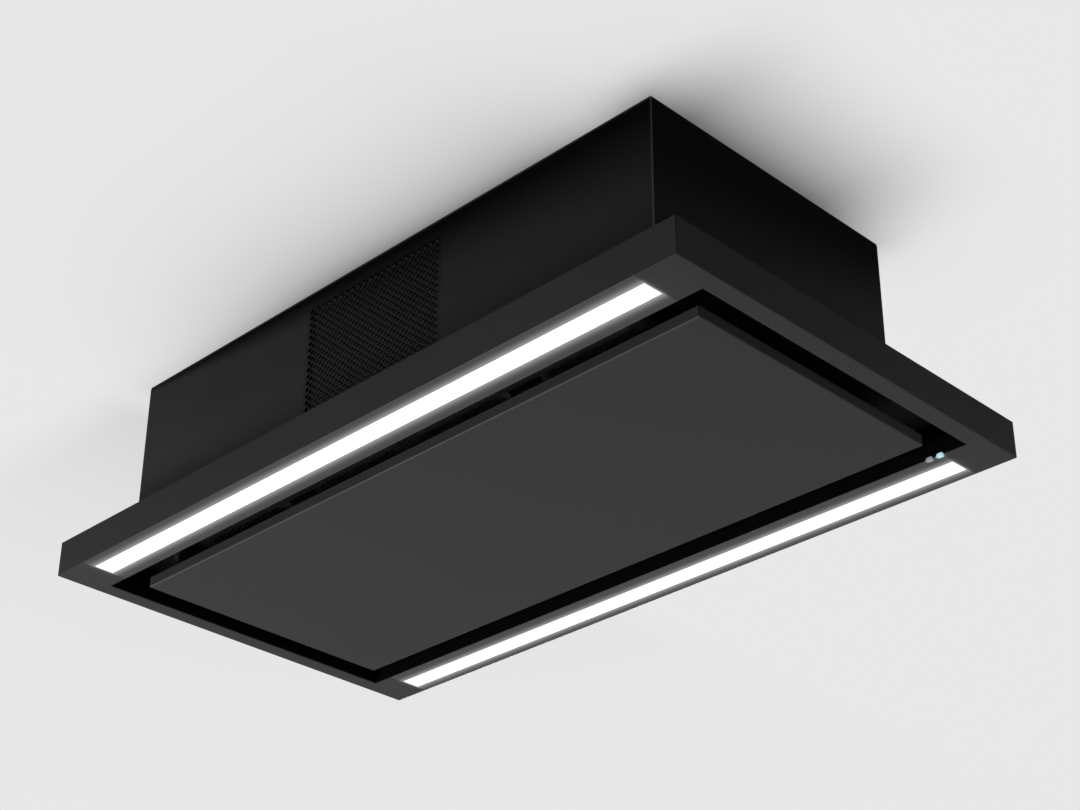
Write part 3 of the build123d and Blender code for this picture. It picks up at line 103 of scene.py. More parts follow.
# %% A value in a shader tree
def operator(operation, swapped=False):
    """A method that adds one kind of Math node, with its two inputs in order or swapped."""
    def method(value, other):
        pair = [other, value] if swapped else [value, other]
        return value.maths(operation, *pair)
    return method

class Value:
    def __init__(self, tree, socket):
        self.tree = tree
        self.socket = socket

    def maths(self, operation, *inputs):
        return self.tree.add("ShaderNodeMath", {"operation": operation}, inputs)

    __add__ = operator("ADD")
    __radd__ = operator("ADD", swapped=True)
    __sub__ = operator("SUBTRACT")
    __rsub__ = operator("SUBTRACT", swapped=True)
    __mul__ = operator("MULTIPLY")
    __rmul__ = operator("MULTIPLY", swapped=True)
    __truediv__ = operator("DIVIDE")
    __pow__ = operator("POWER")
    __lt__ = operator("LESS_THAN")
    __gt__ = operator("GREATER_THAN")
    at_least = operator("MAXIMUM")
    at_most = operator("MINIMUM")

    def __abs__(self):
        return self.maths("ABSOLUTE", self)

    def zigzag(self, period):
        """Rises from 0 to half a period and falls again, over and over."""
        return self.maths("PINGPONG", self, period / 2)

    def fade(self, reach):
        """1 at 0, and about a third of that for each reach further on."""
        return self.maths("EXPONENT", self * (-1.0 / reach))

    def ease(self, low, high):
        """0 below low, 1 above high, and a smooth step between."""
        return self.tree.add("ShaderNodeMapRange", {"interpolation_type": "SMOOTHSTEP"},
                             {"Value": self, "From Min": low, "From Max": high})

print("sums with a name:", [name for name in vars(Value) if not name.startswith("_")])

# %% [markdown]
# ## One method for every other node
# The tree class has one method that adds any node: its type, its settings, and then the values
# or wires of its inputs. Settings come first, because some of them change which inputs exist.
# The output that is wanted is named, or is the first one that the settings leave in use. The
# short methods below it only name the nodes that come up often.

# %% A tree of shader nodes
class Tree:
    def __init__(self, node_tree):
        self.nodes = node_tree.nodes
        self.links = node_tree.links
        self.nodes.clear()

    def add(self, kind, settings=None, inputs=None, output=None):
        node = self.nodes.new(kind)
        for name, setting in (settings or {}).items():
            setattr(node, name, setting)
        pairs = inputs.items() if isinstance(inputs, dict) else enumerate(inputs or [])
        for name, value in pairs:
            socket = node.inputs[name]
            if isinstance(name, str) and not socket.enabled:
                socket = [s for s in node.inputs if s.name == name and s.enabled][0]
            if isinstance(value, Value):
                self.links.new(value.socket, socket)
            elif hasattr(socket, "default_value"):
                if isinstance(value, tuple) and socket.type == "RGBA":
                    value = (*value[:3], 1.0)
                socket.default_value = value
        out = node.outputs[output] if output else [s for s in node.outputs if s.enabled][0]
        return Value(self, out)

    def show(self, shader, output="ShaderNodeOutputMaterial"):
        self.links.new(shader.socket, self.nodes.new(output).inputs["Surface"])

    def ray(self, *kinds):
        """1 for light paths of any of these kinds, and 0 for all others."""
        paths = [self.add("ShaderNodeLightPath", output=f"Is {kind} Ray") for kind in kinds]
        return sum(paths[1:], paths[0]).at_most(1.0)

    def place(self):
        """The place on the part, in metres."""
        return self.add("ShaderNodeTexCoord", output="Object")

    def split(self, place):
        """The place as three values, x, y and z."""
        parts = self.add("ShaderNodeSeparateXYZ", inputs=[place])
        return [Value(self, socket) for socket in parts.socket.node.outputs]

    def colour(self, red, green, blue):
        return self.add("ShaderNodeCombineColor", inputs=[red, green, blue])

    def blend(self, share, first, second):
        """First colour where share is 0, second where it is 1."""
        return self.add("ShaderNodeMix", {"data_type": "RGBA"},
                        {"Factor": share, "A": first, "B": second})

    def noise(self, place, scale, detail):
        return self.add("ShaderNodeTexNoise",
                        inputs={"Vector": place, "Scale": scale, "Detail": detail})

    def cells(self, place, scale, output, settings=None, **inputs):
        return self.add("ShaderNodeTexVoronoi", settings,
                        {"Vector": place, "Scale": scale, **inputs}, output)

    def grey(self, tint):
        return self.add("ShaderNodeRGBToBW", inputs=[tint])

    def stretch(self, place, scale):
        return self.add("ShaderNodeMapping", inputs={"Vector": place, "Scale": scale})

    def bump(self, height, depth, strength):
        return self.add("ShaderNodeBump",
                        inputs={"Height": height, "Distance": depth, "Strength": strength})

print("short names for nodes:", [name for name in vars(Tree) if not name.startswith("_")])

# %% [markdown]
# ## Starting a finish
# Every finish is one Principled shader. What is the same all over the part is written on the
# shader's own sockets. Only what changes from place to place comes in by wire. A finish is hung
# in a wardrobe under its name. The record names finishes in the same way, so that each part of
# the frame will find its own there.

# %% A finish
class Finish(Tree):
    def __init__(self, name, **sockets):
        self.name = name
        self.material = bpy.data.materials.new(name)
        self.material.use_nodes = True
        super().__init__(self.material.node_tree)
        surface = self.add("ShaderNodeBsdfPrincipled")
        self.shader = surface.socket.node
        self.show(surface)
        self.wear(**sockets)

    def wear(self, **sockets):
        for name, value in sockets.items():
            socket = self.shader.inputs[name.replace("_", " ")]
            if isinstance(value, Value):
                self.links.new(value.socket, socket)
            else:
                socket.default_value = (*value, 1.0) if socket.type == "RGBA" else value

wardrobe = {}

def hang(finish):
    wardrobe[finish.name] = finish.material
    print("finish", finish.name, "with", len(finish.nodes), "nodes")
    return finish.material

print("finishes so far:", len(wardrobe))

# %% [markdown]
# ## The ceiling
# The hood is bolted to a white ceiling that fills the whole background, with a soft contact
# shadow round the casing. A lit white plane would take its tone from the lamps. Here the plane
# glows with a fixed pale tone, from which the casing's shadow is taken away. Seen from above the
# ceiling vanishes, so that the hood's top can be looked at too.

# %% Ceiling plane
CEILING_LEVEL, CEILING_HALF = 0.0004, 40.0

def flat_sheet(half_x, half_y, level):
    """A rectangle round the Z axis that looks down."""
    shape = bmesh.new()
    bmesh.ops.create_grid(shape, x_segments=1, y_segments=1, size=1.0)
    bmesh.ops.scale(shape, verts=shape.verts[:], vec=(half_x, half_y, 1.0))
    bmesh.ops.translate(shape, verts=shape.verts[:], vec=(0, 0, level))
    bmesh.ops.reverse_faces(shape, faces=shape.faces[:])
    return shape

ceiling_mesh = bpy.data.meshes.new("ceiling")
sheet = flat_sheet(CEILING_HALF, CEILING_HALF, CEILING_LEVEL)
sheet.to_mesh(ceiling_mesh)
sheet.free()
ceiling = bpy.data.objects.new("ceiling", ceiling_mesh)
bpy.context.scene.collection.objects.link(ceiling)
print("ceiling at", ceiling_mesh.vertices[0].co.z, "m")

# %% [markdown]
# ## The shadow on the ceiling
# The shadow hugs the casing and fades with the distance from its outline. An occlusion node could
# make it, but in the photograph it is not the same all round: it is deep and wide at the right
# end, fades faster along the perforated side, and hardly shows at the back and at the left end.
# So the distance to the outline is worked out, and each side gets its own depth and reach. The
# numbers below are depths from 0 to 1 and places in metres, tuned until the tones agreed.

# %% Shadow on each side
ceiling_look = bpy.data.materials.new("ceiling_paint")
ceiling_look.use_nodes = True
paint = Tree(ceiling_look.node_tree)
x, y, _ = paint.split(paint.place())
gap_x = (abs(x) - CASING_X).at_least(0.0)
gap_y = (abs(y - CASING_SHIFT) - CASING_Y).at_least(0.0)
gap = (gap_x * gap_x + gap_y * gap_y) ** 0.5

RIGHT_REACH = 0.215
beside_right = x.ease(0.30, 0.37) * y.ease(-0.26, -0.14)
lighter_to_back = 1.0 - 0.93 * y.ease(0.03, 0.19)
right_end = 0.76 * (1.0 - gap / RIGHT_REACH).at_least(0.0) ** 2.0 * beside_right * lighter_to_back

before_front = 1.0 - y.ease(-0.22, -0.12)
along_front = x.ease(-0.45, -0.02) * (1.0 - 0.75 * x.ease(0.20, 0.42))
front = (0.55 * gap.fade(0.080) + 0.16 * gap.fade(0.008)) * along_front * before_front

beside_left = y.ease(-0.26, -0.16) * (1.0 - x.ease(-0.46, -0.39))
left_end = 0.22 * gap.fade(0.25) * beside_left
contact = 0.15 * gap.fade(0.02)
lit = (1.0 - right_end) * (1.0 - front) * (1.0 - left_end) * (1.0 - contact)
print("shadow worked out with", len(paint.nodes), "nodes")

# %% [markdown]
# The camera, and metal and glass that mirror it, see the pale tone. In what they mirror, the
# ceiling carries a painted shadow of its own, a dark ring round the casing that pales with
# distance, which is what makes the casing so dark at its top. The light that bounces off the
# ceiling on to the hood is kept low, as the photograph shows none. The plane is cut away over the
# casing, and past two of its edges it lets the low lamps shine through.

# %% Ceiling shading
PALE = 0.807
MIRROR_START, MIRROR_END, BOUNCE = 0.10, 1.60, 0.04
LAMPS_PASS_LEFT, LAMPS_PASS_BACK = -0.45, 0.36
HOLE_MARGIN = 0.006
# Painted shadow for mirrors: dark near the casing, full tone far from it.
mirror_ring = gap.ease(MIRROR_START, MIRROR_END)
seen = paint.ray("Camera") * lit + paint.ray("Glossy", "Transmission") * mirror_ring
glow = paint.add("ShaderNodeEmission", inputs={
    "Color": (1, 1, 1), "Strength": (PALE * seen).at_least(BOUNCE * mirror_ring)})
inside_x = CASING_X - HOLE_MARGIN - abs(x)
inside_y = CASING_Y - HOLE_MARGIN - abs(y - CASING_SHIFT)
over_casing = inside_x.at_most(inside_y) > 0.0
beyond_edge = paint.ray("Shadow") * ((x < LAMPS_PASS_LEFT) + (y > LAMPS_PASS_BACK)).at_most(1.0)
from_above = paint.add("ShaderNodeNewGeometry", output="Backfacing")
gone = (from_above + over_casing + beyond_edge).at_most(1.0)
paint.show(paint.add("ShaderNodeMixShader",
                     inputs=[gone, glow, paint.add("ShaderNodeBsdfTransparent")]))
ceiling_mesh.materials.append(ceiling_look)
print("ceiling tone:", PALE)

# %% [markdown]
# ## The room
# Below the ceiling the room is the same pale tone for the camera and in reflections. The light
# that it sheds on the hood is set apart from that, so that the background can be nearly white
# while the black paint stays black.

# %% World
ROOM_LIGHT = 0.05
room = bpy.data.worlds.new("room")
bpy.context.scene.world = room
room.use_nodes = True
air = Tree(room.node_tree)
looked_at = air.ray("Camera", "Glossy", "Transmission")
strength = looked_at * PALE + (1.0 - looked_at) * ROOM_LIGHT
backdrop = air.add("ShaderNodeBackground", inputs={"Color": (1, 1, 1), "Strength": strength})
air.show(backdrop, "ShaderNodeOutputWorld")
print("room light:", ROOM_LIGHT)

# %% [markdown]
# ## The camera
# The photograph is taken from below and from one corner. Its place was worked out from the
# hood's corners in the picture: a long lens, about two metres from the near corner, turned by a
# third of a degree. The lens is written for a 36 mm wide sensor.

# %% Camera
CAMERA_PLACE = (1.4300, -1.3941, -1.2359)
CAMERA_TILT = math.radians(-0.29)
lens = bpy.data.cameras.new("camera")
lens.sensor_width = 36.0
lens.lens = 72.09
lens.clip_end = 200.0
camera = bpy.data.objects.new("camera", lens)
bpy.context.scene.collection.objects.link(camera)
forward = Vector((-0.6125, 0.6148, 0.4968)).normalized()
right = Matrix.Rotation(CAMERA_TILT, 3, forward) @ forward.cross(Vector((0, 0, 1))).normalized()
up = right.cross(forward)
turn = Matrix((right, up, -forward)).transposed()
camera.matrix_world = Matrix.Translation(CAMERA_PLACE) @ turn.to_4x4()
bpy.context.scene.camera = camera
print("camera looks along", [round(v, 3) for v in forward], "roll z", round(right.z, 4))

# %% [markdown]
# ## The lamps
# Six soft lamps make the photograph's light. One far below, one in front and one on the right
# light the tray and the panel. The casing has two of its own at its own height, a long one on the
# far left, which makes its long side fade towards the near corner, and a weak one beyond its
# right end. A thin strip behind the hood gives the far edges a line of light. Which lamp lights
# what is set at the end, when all the pieces are there.

# %% Lamps
def softbox(name, place, target, size, watts):
    light = bpy.data.lights.new(name, "AREA")
    light.shape = "RECTANGLE"
    light.size, light.size_y = size
    light.energy = watts
    lamp = bpy.data.objects.new(name, light)
    lamp.location = place
    lamp.rotation_euler = (Vector(target) - Vector(place)).to_track_quat("-Z", "Y").to_euler()
    bpy.context.scene.collection.objects.link(lamp)
    return lamp

tray_lamps = [
    softbox("lamp_below", (0.3, -0.2, -3.0), (0, 0, -0.2), (2.0, 2.0), 10.0),
    softbox("lamp_front", (-1.3, -2.4, -1.9), (0, 0, -0.2), (1.0, 1.0), 112.0),
    softbox("lamp_right", (2.2, 1.5, -1.2), (0, 0, -0.2), (1.0, 1.0), 31.0),
]
casing_lamps = [
    softbox("lamp_left", (-2.60, -2.20, 0.14), (-0.1, -0.2, -0.1), (0.90, 0.20), 60.0),
    softbox("lamp_far", (1.50, 0.75, 0.10), (0.38, 0.0, -0.1), (0.50, 0.12), 4.0),
]
softbox("lamp_behind", (-2.2, 2.6, -0.13), (0, 0, -0.15), (1.2, 0.16), 30.0)

# %% [markdown]
# ## Black powder coat
# The hood's sheet steel is sprayed with powder and baked. It comes out nearly black, with a soft
# satin gloss and a very fine pebbled skin. A plain dark colour would look like cut paper, so the
# gloss drifts slowly over the sheet and a fine bump breaks the reflections up. Some pieces also get
# painted light and shade from place to place, so the recipe takes a function that says how: a share
# of the tone left by painted shade, a painted highlight added to the tone, a roughness that is
# added, and a painted glow in three tints.

# %% Powder coat
PAINT_TONE = 0.0235

def powder_coat(name, tone=PAINT_TONE, gloss=0.10, marks=None):
    coat = Finish(name, Specular_IOR_Level=gloss, Roughness=0.5)
    place = coat.place()
    drift = coat.noise(place, 7.0, 3.0)
    pebble = coat.noise(place, 1900.0, 1.0)
    orange_peel = coat.noise(place, 420.0, 2.0)
    here = {"kept": 1.0, "added": 0.0, "dulled": 0.0, "glow": None}
    if marks:
        here.update(marks(*coat.split(place)))
    shade = tone * (1.0 + 0.22 * (drift - 0.5) + 0.26 * (pebble - 0.5))
    # Painted shade keeps only its share of the tone, and a painted highlight is added to it.
    shade = shade * here["kept"] + here["added"]
    coat.wear(Base_Color=coat.colour(shade, shade, shade * 1.03),
              Roughness=0.44 + 0.10 * drift + 0.06 * orange_peel + here["dulled"],
              Normal=coat.bump(pebble * 0.6 + orange_peel * 0.4, 0.00006, 0.6))
    # A painted glow, where a piece has one.
    if here["glow"]:
        coat.wear(Emission_Color=coat.colour(*here["glow"]), Emission_Strength=1.0)
    return coat

hang(powder_coat("black_coat"))

# %% [markdown]
# The tray's paint has the light of the lamp strips painted on as a glow, which fades within a
# finger's width, and a painted spot of blue round the lit status light.

# %% Paint on the tray
FOLD = 0.0009
HALO_REACH, SPILL_REACH, SPOT_REACH = 0.0125, 0.045, 0.011
SPOT_TINTS = (0.03, 0.14, 0.16)
STATUS_X = middle_x("status_lens")

def tray_painted_glow(x, y, z):
    past_end = (abs(x) - LAMP_HALF_X).at_least(0.0)
    past_side = (abs(abs(y) - LAMP_Y) - LAMP_HALF_Y).at_least(0.0)
    from_strip = (past_end * past_end + past_side * past_side) ** 0.5
    # Painted light: a glow round each lamp strip, and a blue spot round the status light.
    halo = 0.32 * (1.0 - from_strip / HALO_REACH).at_least(0.0) ** 2.1
    spill = 0.044 * (1.0 - from_strip / SPILL_REACH).at_least(0.0)
    weaker_past_end = 1.0 - 0.9 * past_end.ease(0.0, 0.004)
    strip = (halo + spill) * (z < TRAY_BOTTOM + FOLD) * weaker_past_end
    from_x, from_y, from_z = x - STATUS_X, y - MOUTH_Y, z - TRAY_BOTTOM
    from_status = (from_x * from_x + from_y * from_y + from_z * from_z) ** 0.5
    spot = (1.0 - from_status / SPOT_REACH).at_least(0.0) ** 2.0
    return {"glow": [strip + tint * spot for tint in SPOT_TINTS]}

black_coat_tray_painted_glow = hang(powder_coat("black_coat_tray_painted_glow", marks=tray_painted_glow))

# %% [markdown]
# The casing's upright corners and the panel's long lower folds get a painted highlight: a paler
# tone where a rounded fold would catch the light, and on the corners a faint painted glow too. The
# punched stretch, the walls of its holes and the casing's foot get hardly any light, so they are
# given a painted shade, darker and duller than the lamps alone would leave them. The mouth's inside
# gets a near-black painted shade of its own.

# %% Paint on the casing, on the panel and in the mouth
FOLD_LINE, PANEL_FOLD, NET_PLAY = 0.0012, 0.0011, 0.0003
HOLE_START, HOLE_END = CASING_FRONT + 0.0001, CASING_FRONT + 0.002

def casing_painted_shade_and_highlight(x, y, z):
    # Painted highlight: a paler tone and a faint glow along the upright corners.
    corner_painted_highlight = ((abs(x) > CASING_X - FOLD_LINE)
              * (abs(y - CASING_SHIFT) > CASING_Y - FOLD_LINE))
    # Painted shade: the punched stretch, the walls of its holes and the foot are darker.
    punched_painted_shade = ((abs(x) < GRILLE_X + NET_PLAY) * (abs(z - GRILLE_MID) < GRILLE_Z + NET_PLAY)
               * (y < HOLE_END))
    hole_walls_painted_shade = punched_painted_shade * (y > HOLE_START)
    foot_painted_shade = 0.50 + 0.50 * z.ease(CASING_FOOT, -0.08)
    return {"kept": (1.0 - 0.36 * punched_painted_shade) * (1.0 - 0.4 * hole_walls_painted_shade) * foot_painted_shade,
            "added": 0.065 * corner_painted_highlight,
            "dulled": 0.42 * (1.0 - z.ease(CASING_FOOT, -0.07)),
            "glow": [0.012 * corner_painted_highlight] * 3}

def panel_painted_highlight(x, y, z):
    # Painted highlight: a paler line along the panel's long lower folds.
    return {"added": 0.030 * (abs(y) > PANEL_Y - FOLD_LINE) * (z < PANEL_BOTTOM + PANEL_FOLD)}

black_coat_casing_painted_shade_and_highlight = hang(powder_coat("black_coat_casing_painted_shade_and_highlight", marks=casing_painted_shade_and_highlight))
black_coat_panel_painted_highlight = hang(powder_coat("black_coat_panel_painted_highlight", marks=panel_painted_highlight))
# Painted shade: a near-black coat for the mouth's inside, where hardly any light gets.
black_coat_mouth_painted_shade = hang(powder_coat("black_coat_mouth_painted_shade", tone=0.002, gloss=0.01))

# %% [markdown]
# ## Zinc-plated sheet
# Brackets and backing sheets inside the hood are plated steel. Zinc shows a faint pattern of
# crystals and rolling marks along the sheet. Cells of slightly different tone stand for the
# crystals, and long thin noise for the rolling marks.

# %% Zinc plate
def zinc_plate():
    zinc = Finish("zinc_plated", Metallic=1.0, Roughness=0.35)
    place = zinc.place()
    crystal = zinc.grey(zinc.cells(place, 130.0, "Color"))
    rolled = zinc.noise(zinc.stretch(place, (60.0, 1800.0, 1800.0)), 1.0, 2.0)
    tone = 0.50 + 0.10 * (crystal - 0.5) + 0.06 * (rolled - 0.5)
    zinc.wear(Base_Color=zinc.colour(tone, tone * 1.01, tone * 1.04),
              Roughness=0.30 + 0.12 * crystal + 0.10 * rolled,
              Normal=zinc.bump(rolled, 0.00003, 0.5))
    return zinc

hang(zinc_plate())

# %% [markdown]
# ## Turned and drawn metals
# Screws, the shaft and the hinge pins are bright steel, the motor's shell is drawn steel, its
# bearings are sintered bronze, and the magnets are nickel plated. They differ in colour, in how
# rough they are and in the size of their marks, so one recipe with those three sizes serves all.

# %% Bare metals
def bare_metal(name, colour, rough, grain, streak=(1, 1, 1)):
    metal = Finish(name, Metallic=1.0, Roughness=rough)
    place = metal.place()
    marks = metal.noise(metal.stretch(place, streak), grain, 3.0)
    stain = metal.noise(place, 45.0, 2.0)
    dark = tuple(0.72 * c for c in colour)
    metal.wear(Base_Color=metal.blend(0.65 * marks + 0.35 * stain, colour, dark),
               Roughness=rough + 0.18 * (marks - 0.5) + 0.10 * (stain - 0.5),
               Normal=metal.bump(marks, 0.00002, 0.5))
    return metal

hang(bare_metal("bright_screw", (0.62, 0.62, 0.64), 0.28, 900.0))
hang(bare_metal("motor_case", (0.42, 0.43, 0.44), 0.36, 1.0, (700.0, 700.0, 40.0)))
hang(bare_metal("bearing_bronze", (0.58, 0.40, 0.19), 0.45, 1600.0))
hang(bare_metal("magnet", (0.70, 0.70, 0.72), 0.18, 250.0))

# %% [markdown]
# ## Aluminium
# Lamp profiles and filter frames are drawn aluminium: satin, with fine lines along their length.
# The expanded mesh of the filters is the same metal, greyer and duller from its fine cuts.

# %% Aluminium
def satin_aluminium(name, tone, rough):
    alloy = Finish(name, Metallic=1.0, Roughness=rough)
    place = alloy.place()
    lines = alloy.noise(alloy.stretch(place, (25.0, 3200.0, 3200.0)), 1.0, 2.0)
    cloud = alloy.noise(place, 30.0, 2.0)
    shade = tone + 0.08 * (lines - 0.5) + 0.05 * (cloud - 0.5)
    alloy.wear(Base_Color=alloy.colour(shade, shade, shade * 1.02),
               Roughness=rough + 0.12 * (lines - 0.5),
               Normal=alloy.bump(lines, 0.00002, 0.4))
    return alloy

hang(satin_aluminium("aluminium", 0.70, 0.34))
filter_mesh = hang(satin_aluminium("filter_mesh", 0.24, 0.45))

# %% [markdown]
# ## Lit acrylic
# The two lamps are strips of opal acrylic with a row of LEDs behind them. In the photograph they
# are plain white from edge to edge. A glow of one is white in the picture, and it dips a little
# between the LEDs, as a real strip's does.

# %% Lamp strips
LED_PITCH = 0.033

def lit_opal():
    opal = Finish("opal_diffuser", Roughness=0.35, Base_Color=(0.93, 0.93, 0.92))
    place = opal.place()
    x, _, _ = opal.split(place)
    between = (abs(x) + LED_PITCH / 2).zigzag(LED_PITCH) / (LED_PITCH / 2)
    grain = opal.noise(place, 600.0, 1.0)
    light = 1.02 - 0.03 * between + 0.01 * grain
    opal.wear(Emission_Color=opal.colour(light, light * 0.995, light * 0.985),
              Emission_Strength=1.0,
              Roughness=0.32 + 0.08 * grain)
    return opal

hang(lit_opal())

# %% [markdown]
# ## Status lights
# Two small light guides cross the mouth's edge near one corner. One is the dark receiver window
# of the remote control, which is no lamp but is given a faint painted glow. The other is lit a pale
# cool blue. Both are clear plastic, so they are glossy, and both glows are brightest along the
# middle.

# %% Light guides
GUIDE_HALF = 0.0045

def light_guide(name, base, light, middle):
    guide = Finish(name, Roughness=0.12, Coat_Weight=0.4, Coat_Roughness=0.05)
    place = guide.place()
    x, _, _ = guide.split(place)
    core = 1.0 - (abs(x - middle) / GUIDE_HALF).ease(0.2, 1.0) * 0.45
    cloud = guide.noise(place, 900.0, 1.0)
    lamp = guide.add("ShaderNodeVectorMath", {"operation": "SCALE"},
                     {"Vector": light, "Scale": core * (0.92 + 0.16 * cloud)})
    guide.wear(Base_Color=guide.blend(cloud, base, tuple(0.8 * c for c in base)),
               Emission_Color=lamp, Emission_Strength=1.0,
               Roughness=0.10 + 0.08 * cloud)
    return guide

# Painted light: the receiver window's weak grey glow.
hang(light_guide("receiver_lens", (0.12, 0.12, 0.125), (0.20, 0.20, 0.205),
                 middle_x("receiver_lens")))
hang(light_guide("status_lens", (0.24, 0.34, 0.35), (0.37, 0.59, 0.60), STATUS_X))

# %% [markdown]
# ## Moulded plastic and rubber
# The blower, the duct and the control box are moulded plastic with a fine spark-eroded grain.
# Rubber is the same idea with a softer, duller skin. Grain size, tone and gloss are the only
# differences, so they are the recipe's inputs.

# %% Mouldings
def moulding(name, colour, rough, grain, depth):
    plastic = Finish(name, Specular_IOR_Level=0.35, Roughness=rough)
    place = plastic.place()
    pits = plastic.noise(place, grain, 2.0)
    flow = plastic.noise(place, 18.0, 2.0)
    worn = tuple(min(1.0, 1.25 * c + 0.004) for c in colour)
    plastic.wear(Base_Color=plastic.blend(0.5 * pits + 0.5 * flow, colour, worn),
                 Roughness=rough + 0.14 * (pits - 0.5) + 0.08 * (flow - 0.5),
                 Normal=plastic.bump(pits, depth, 0.7))
    return plastic

hang(moulding("black_plastic", (0.022, 0.022, 0.023), 0.5, 1400.0, 0.00005))
hang(moulding("grey_plastic", (0.30, 0.31, 0.32), 0.48, 1300.0, 0.00005))
hang(moulding("rubber", (0.020, 0.020, 0.020), 0.8, 700.0, 0.0001))

# %% [markdown]
# ## Charcoal
# The cassette behind the perforation holds pressed charcoal grains. Cells a few millimetres
# across, each with its own tone and a deep gap between them, read as grains at once. Each grain
# darkens towards its edge, a painted shade in the gaps.

# %% Charcoal grains
GRAINS_PER_METRE = 420.0

def charcoal_grains():
    coal = Finish("charcoal", Roughness=0.75, Specular_IOR_Level=0.05)
    place = coal.place()
    edge = coal.cells(place, GRAINS_PER_METRE, "Distance", {"feature": "DISTANCE_TO_EDGE"})
    tint = coal.grey(coal.cells(place, GRAINS_PER_METRE, "Color"))
    # Painted shade: darker towards each grain's edge.
    tone = (0.006 + 0.010 * tint) * (0.4 + 0.6 * edge.ease(0.0, 0.12))
    coal.wear(Base_Color=coal.colour(tone, tone, tone),
              Roughness=0.60 + 0.30 * tint,
              Normal=coal.bump(edge.ease(0.0, 0.3), 0.0004, 0.6))
    return coal

hang(charcoal_grains())

# %% [markdown]
# ## Circuit boards
# Boards are green solder mask over copper tracks. The tracks run in steps from pad to pad, which
# square cells imitate: lines at a fixed distance from each cell's middle, a little darker than
# the green and raised by a hair.

# %% Circuit board
def circuit_board():
    board = Finish("circuit_board", Roughness=0.35, Coat_Weight=0.3, Coat_Roughness=0.15)
    place = board.place()
    steps = board.cells(place, 160.0, "Distance", {"distance": "CHEBYCHEV", "feature": "F1"},
                        Randomness=0.65)
    track = steps.zigzag(0.22).ease(0.045, 0.06)
    speckle = board.noise(place, 1500.0, 1.0)
    green = board.blend(track, (0.030, 0.160, 0.070), (0.018, 0.105, 0.045))
    board.wear(Base_Color=board.blend(0.25 * speckle, green, (0.06, 0.24, 0.11)),
               Roughness=0.30 + 0.15 * speckle + 0.08 * track,
               Normal=board.bump(track, 0.00005, 0.6))
    return board

hang(circuit_board())

# %% [markdown]
# ## Dressing the frame's parts
# Every part of the frame already has its shape and place, so it only needs a finish. The record
# says which finish each part has, and the parts are dressed from that list. The casing's plain
# walls and the ceiling plate then change into the casing's paint, the same black with its painted
# shade and painted highlights.

# %% Finishes for the frame's parts
for part in frame["record"]["subparts"]:
    looks = nodes[part["node"]].data.materials
    looks.clear()
    looks.append(wardrobe[part["material_slot"]])
for name in ("casing_back", "casing_end_left", "casing_end_right", "mounting_plate"):
    nodes[name].data.materials[0] = black_coat_casing_painted_shade_and_highlight

# %% [markdown]
# ## From a bmesh to a piece
# New pieces are shaped with bmesh operators. This helper turns a finished bmesh into an object:
# the rounded folds are shaded smooth, and every face that lies square to an axis is shaded flat,
# because smooth shading would bend the light all the way across a large sheet. The piece rides
# on the body of the part that it stands for.

# %% Finish a piece
SHARP = math.radians(35)
SQUARE = 0.9999

def finish_piece(shape, name, stands_for, finish, body):
    bmesh.ops.remove_doubles(shape, verts=shape.verts[:], dist=1e-6)
    for face in shape.faces:
        face.normal_update()
        face.smooth = max(abs(part) for part in face.normal) < SQUARE
    for edge in shape.edges:
        edge.smooth = edge.calc_face_angle(0.0) < SHARP
    mesh = bpy.data.meshes.new(name)
    shape.to_mesh(mesh)
    shape.free()
    mesh.materials.append(finish)
    piece = bpy.data.objects.new(name, mesh)
    bpy.context.scene.collection.objects.link(piece)
    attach(piece, body)
    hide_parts(stands_for)
    low = [min(v.co[i] for v in mesh.vertices) for i in range(3)]
    high = [max(v.co[i] for v in mesh.vertices) for i in range(3)]
    print(name, len(mesh.polygons), "faces,",
          [round(v, 4) for v in low], [round(v, 4) for v in high])
    return piece

# %% [markdown]
# ## Working sheet metal
# The tray, the panel and the outlet wall are all folded sheets, and they are made in the steps of
# a metal shop: mark and cut the blank, fold its edges, round the folds. Each step is a helper. The
# last one makes all faces look to the same side, so that the sheet gets its thickness inwards.

# %% Cut and fold
FOLD_ANGLE = math.radians(60)
NEAR = 1e-5

def cut_at(shape, axis, places, faces=None):
    """Adds edges where faces cross each place along an axis, and gives those faces back."""
    faces = faces or shape.faces[:]
    direction = Vector((axis == 0, axis == 1, axis == 2))
    for place in places:
        geometry = dict.fromkeys(g for f in faces for g in (f, *f.edges, *f.verts))
        cut = bmesh.ops.bisect_plane(shape, geom=list(geometry), dist=1e-7,
                                     plane_co=direction * place, plane_no=direction)
        faces = [g for g in cut["geom"] if isinstance(g, bmesh.types.BMFace)]
    return faces

def drop_faces(shape, test):
    gone = [f for f in shape.faces if test(f.calc_center_median())]
    bmesh.ops.delete(shape, geom=gone, context="FACES")

def raise_edges(shape, edges, move):
    """Folds a strip out of the sheet along some edges, and gives back its far edges."""
    made = bmesh.ops.extrude_edge_only(shape, edges=edges)["geom"]
    verts = [g for g in made if isinstance(g, bmesh.types.BMVert)]
    bmesh.ops.translate(shape, verts=verts, vec=move)
    return [g for g in made if isinstance(g, bmesh.types.BMEdge)
            and all(v in verts for v in g.verts)]

def turn_edges(shape, edges, half_x, half_y, reach):
    """Folds a level strip from a rectangle's rim, outwards, or inwards if its reach is negative."""
    far = raise_edges(shape, edges, (0, 0, 0))
    bmesh.ops.scale(shape, verts=list({v for e in far for v in e.verts}),
                    vec=((half_x + reach) / half_x, (half_y + reach) / half_y, 1.0))

def round_edges(shape, edges, size, segments):
    bmesh.ops.bevel(shape, geom=edges, offset=size, offset_type="OFFSET", segments=segments,
                    profile=0.5, material=-1, affect="EDGES")

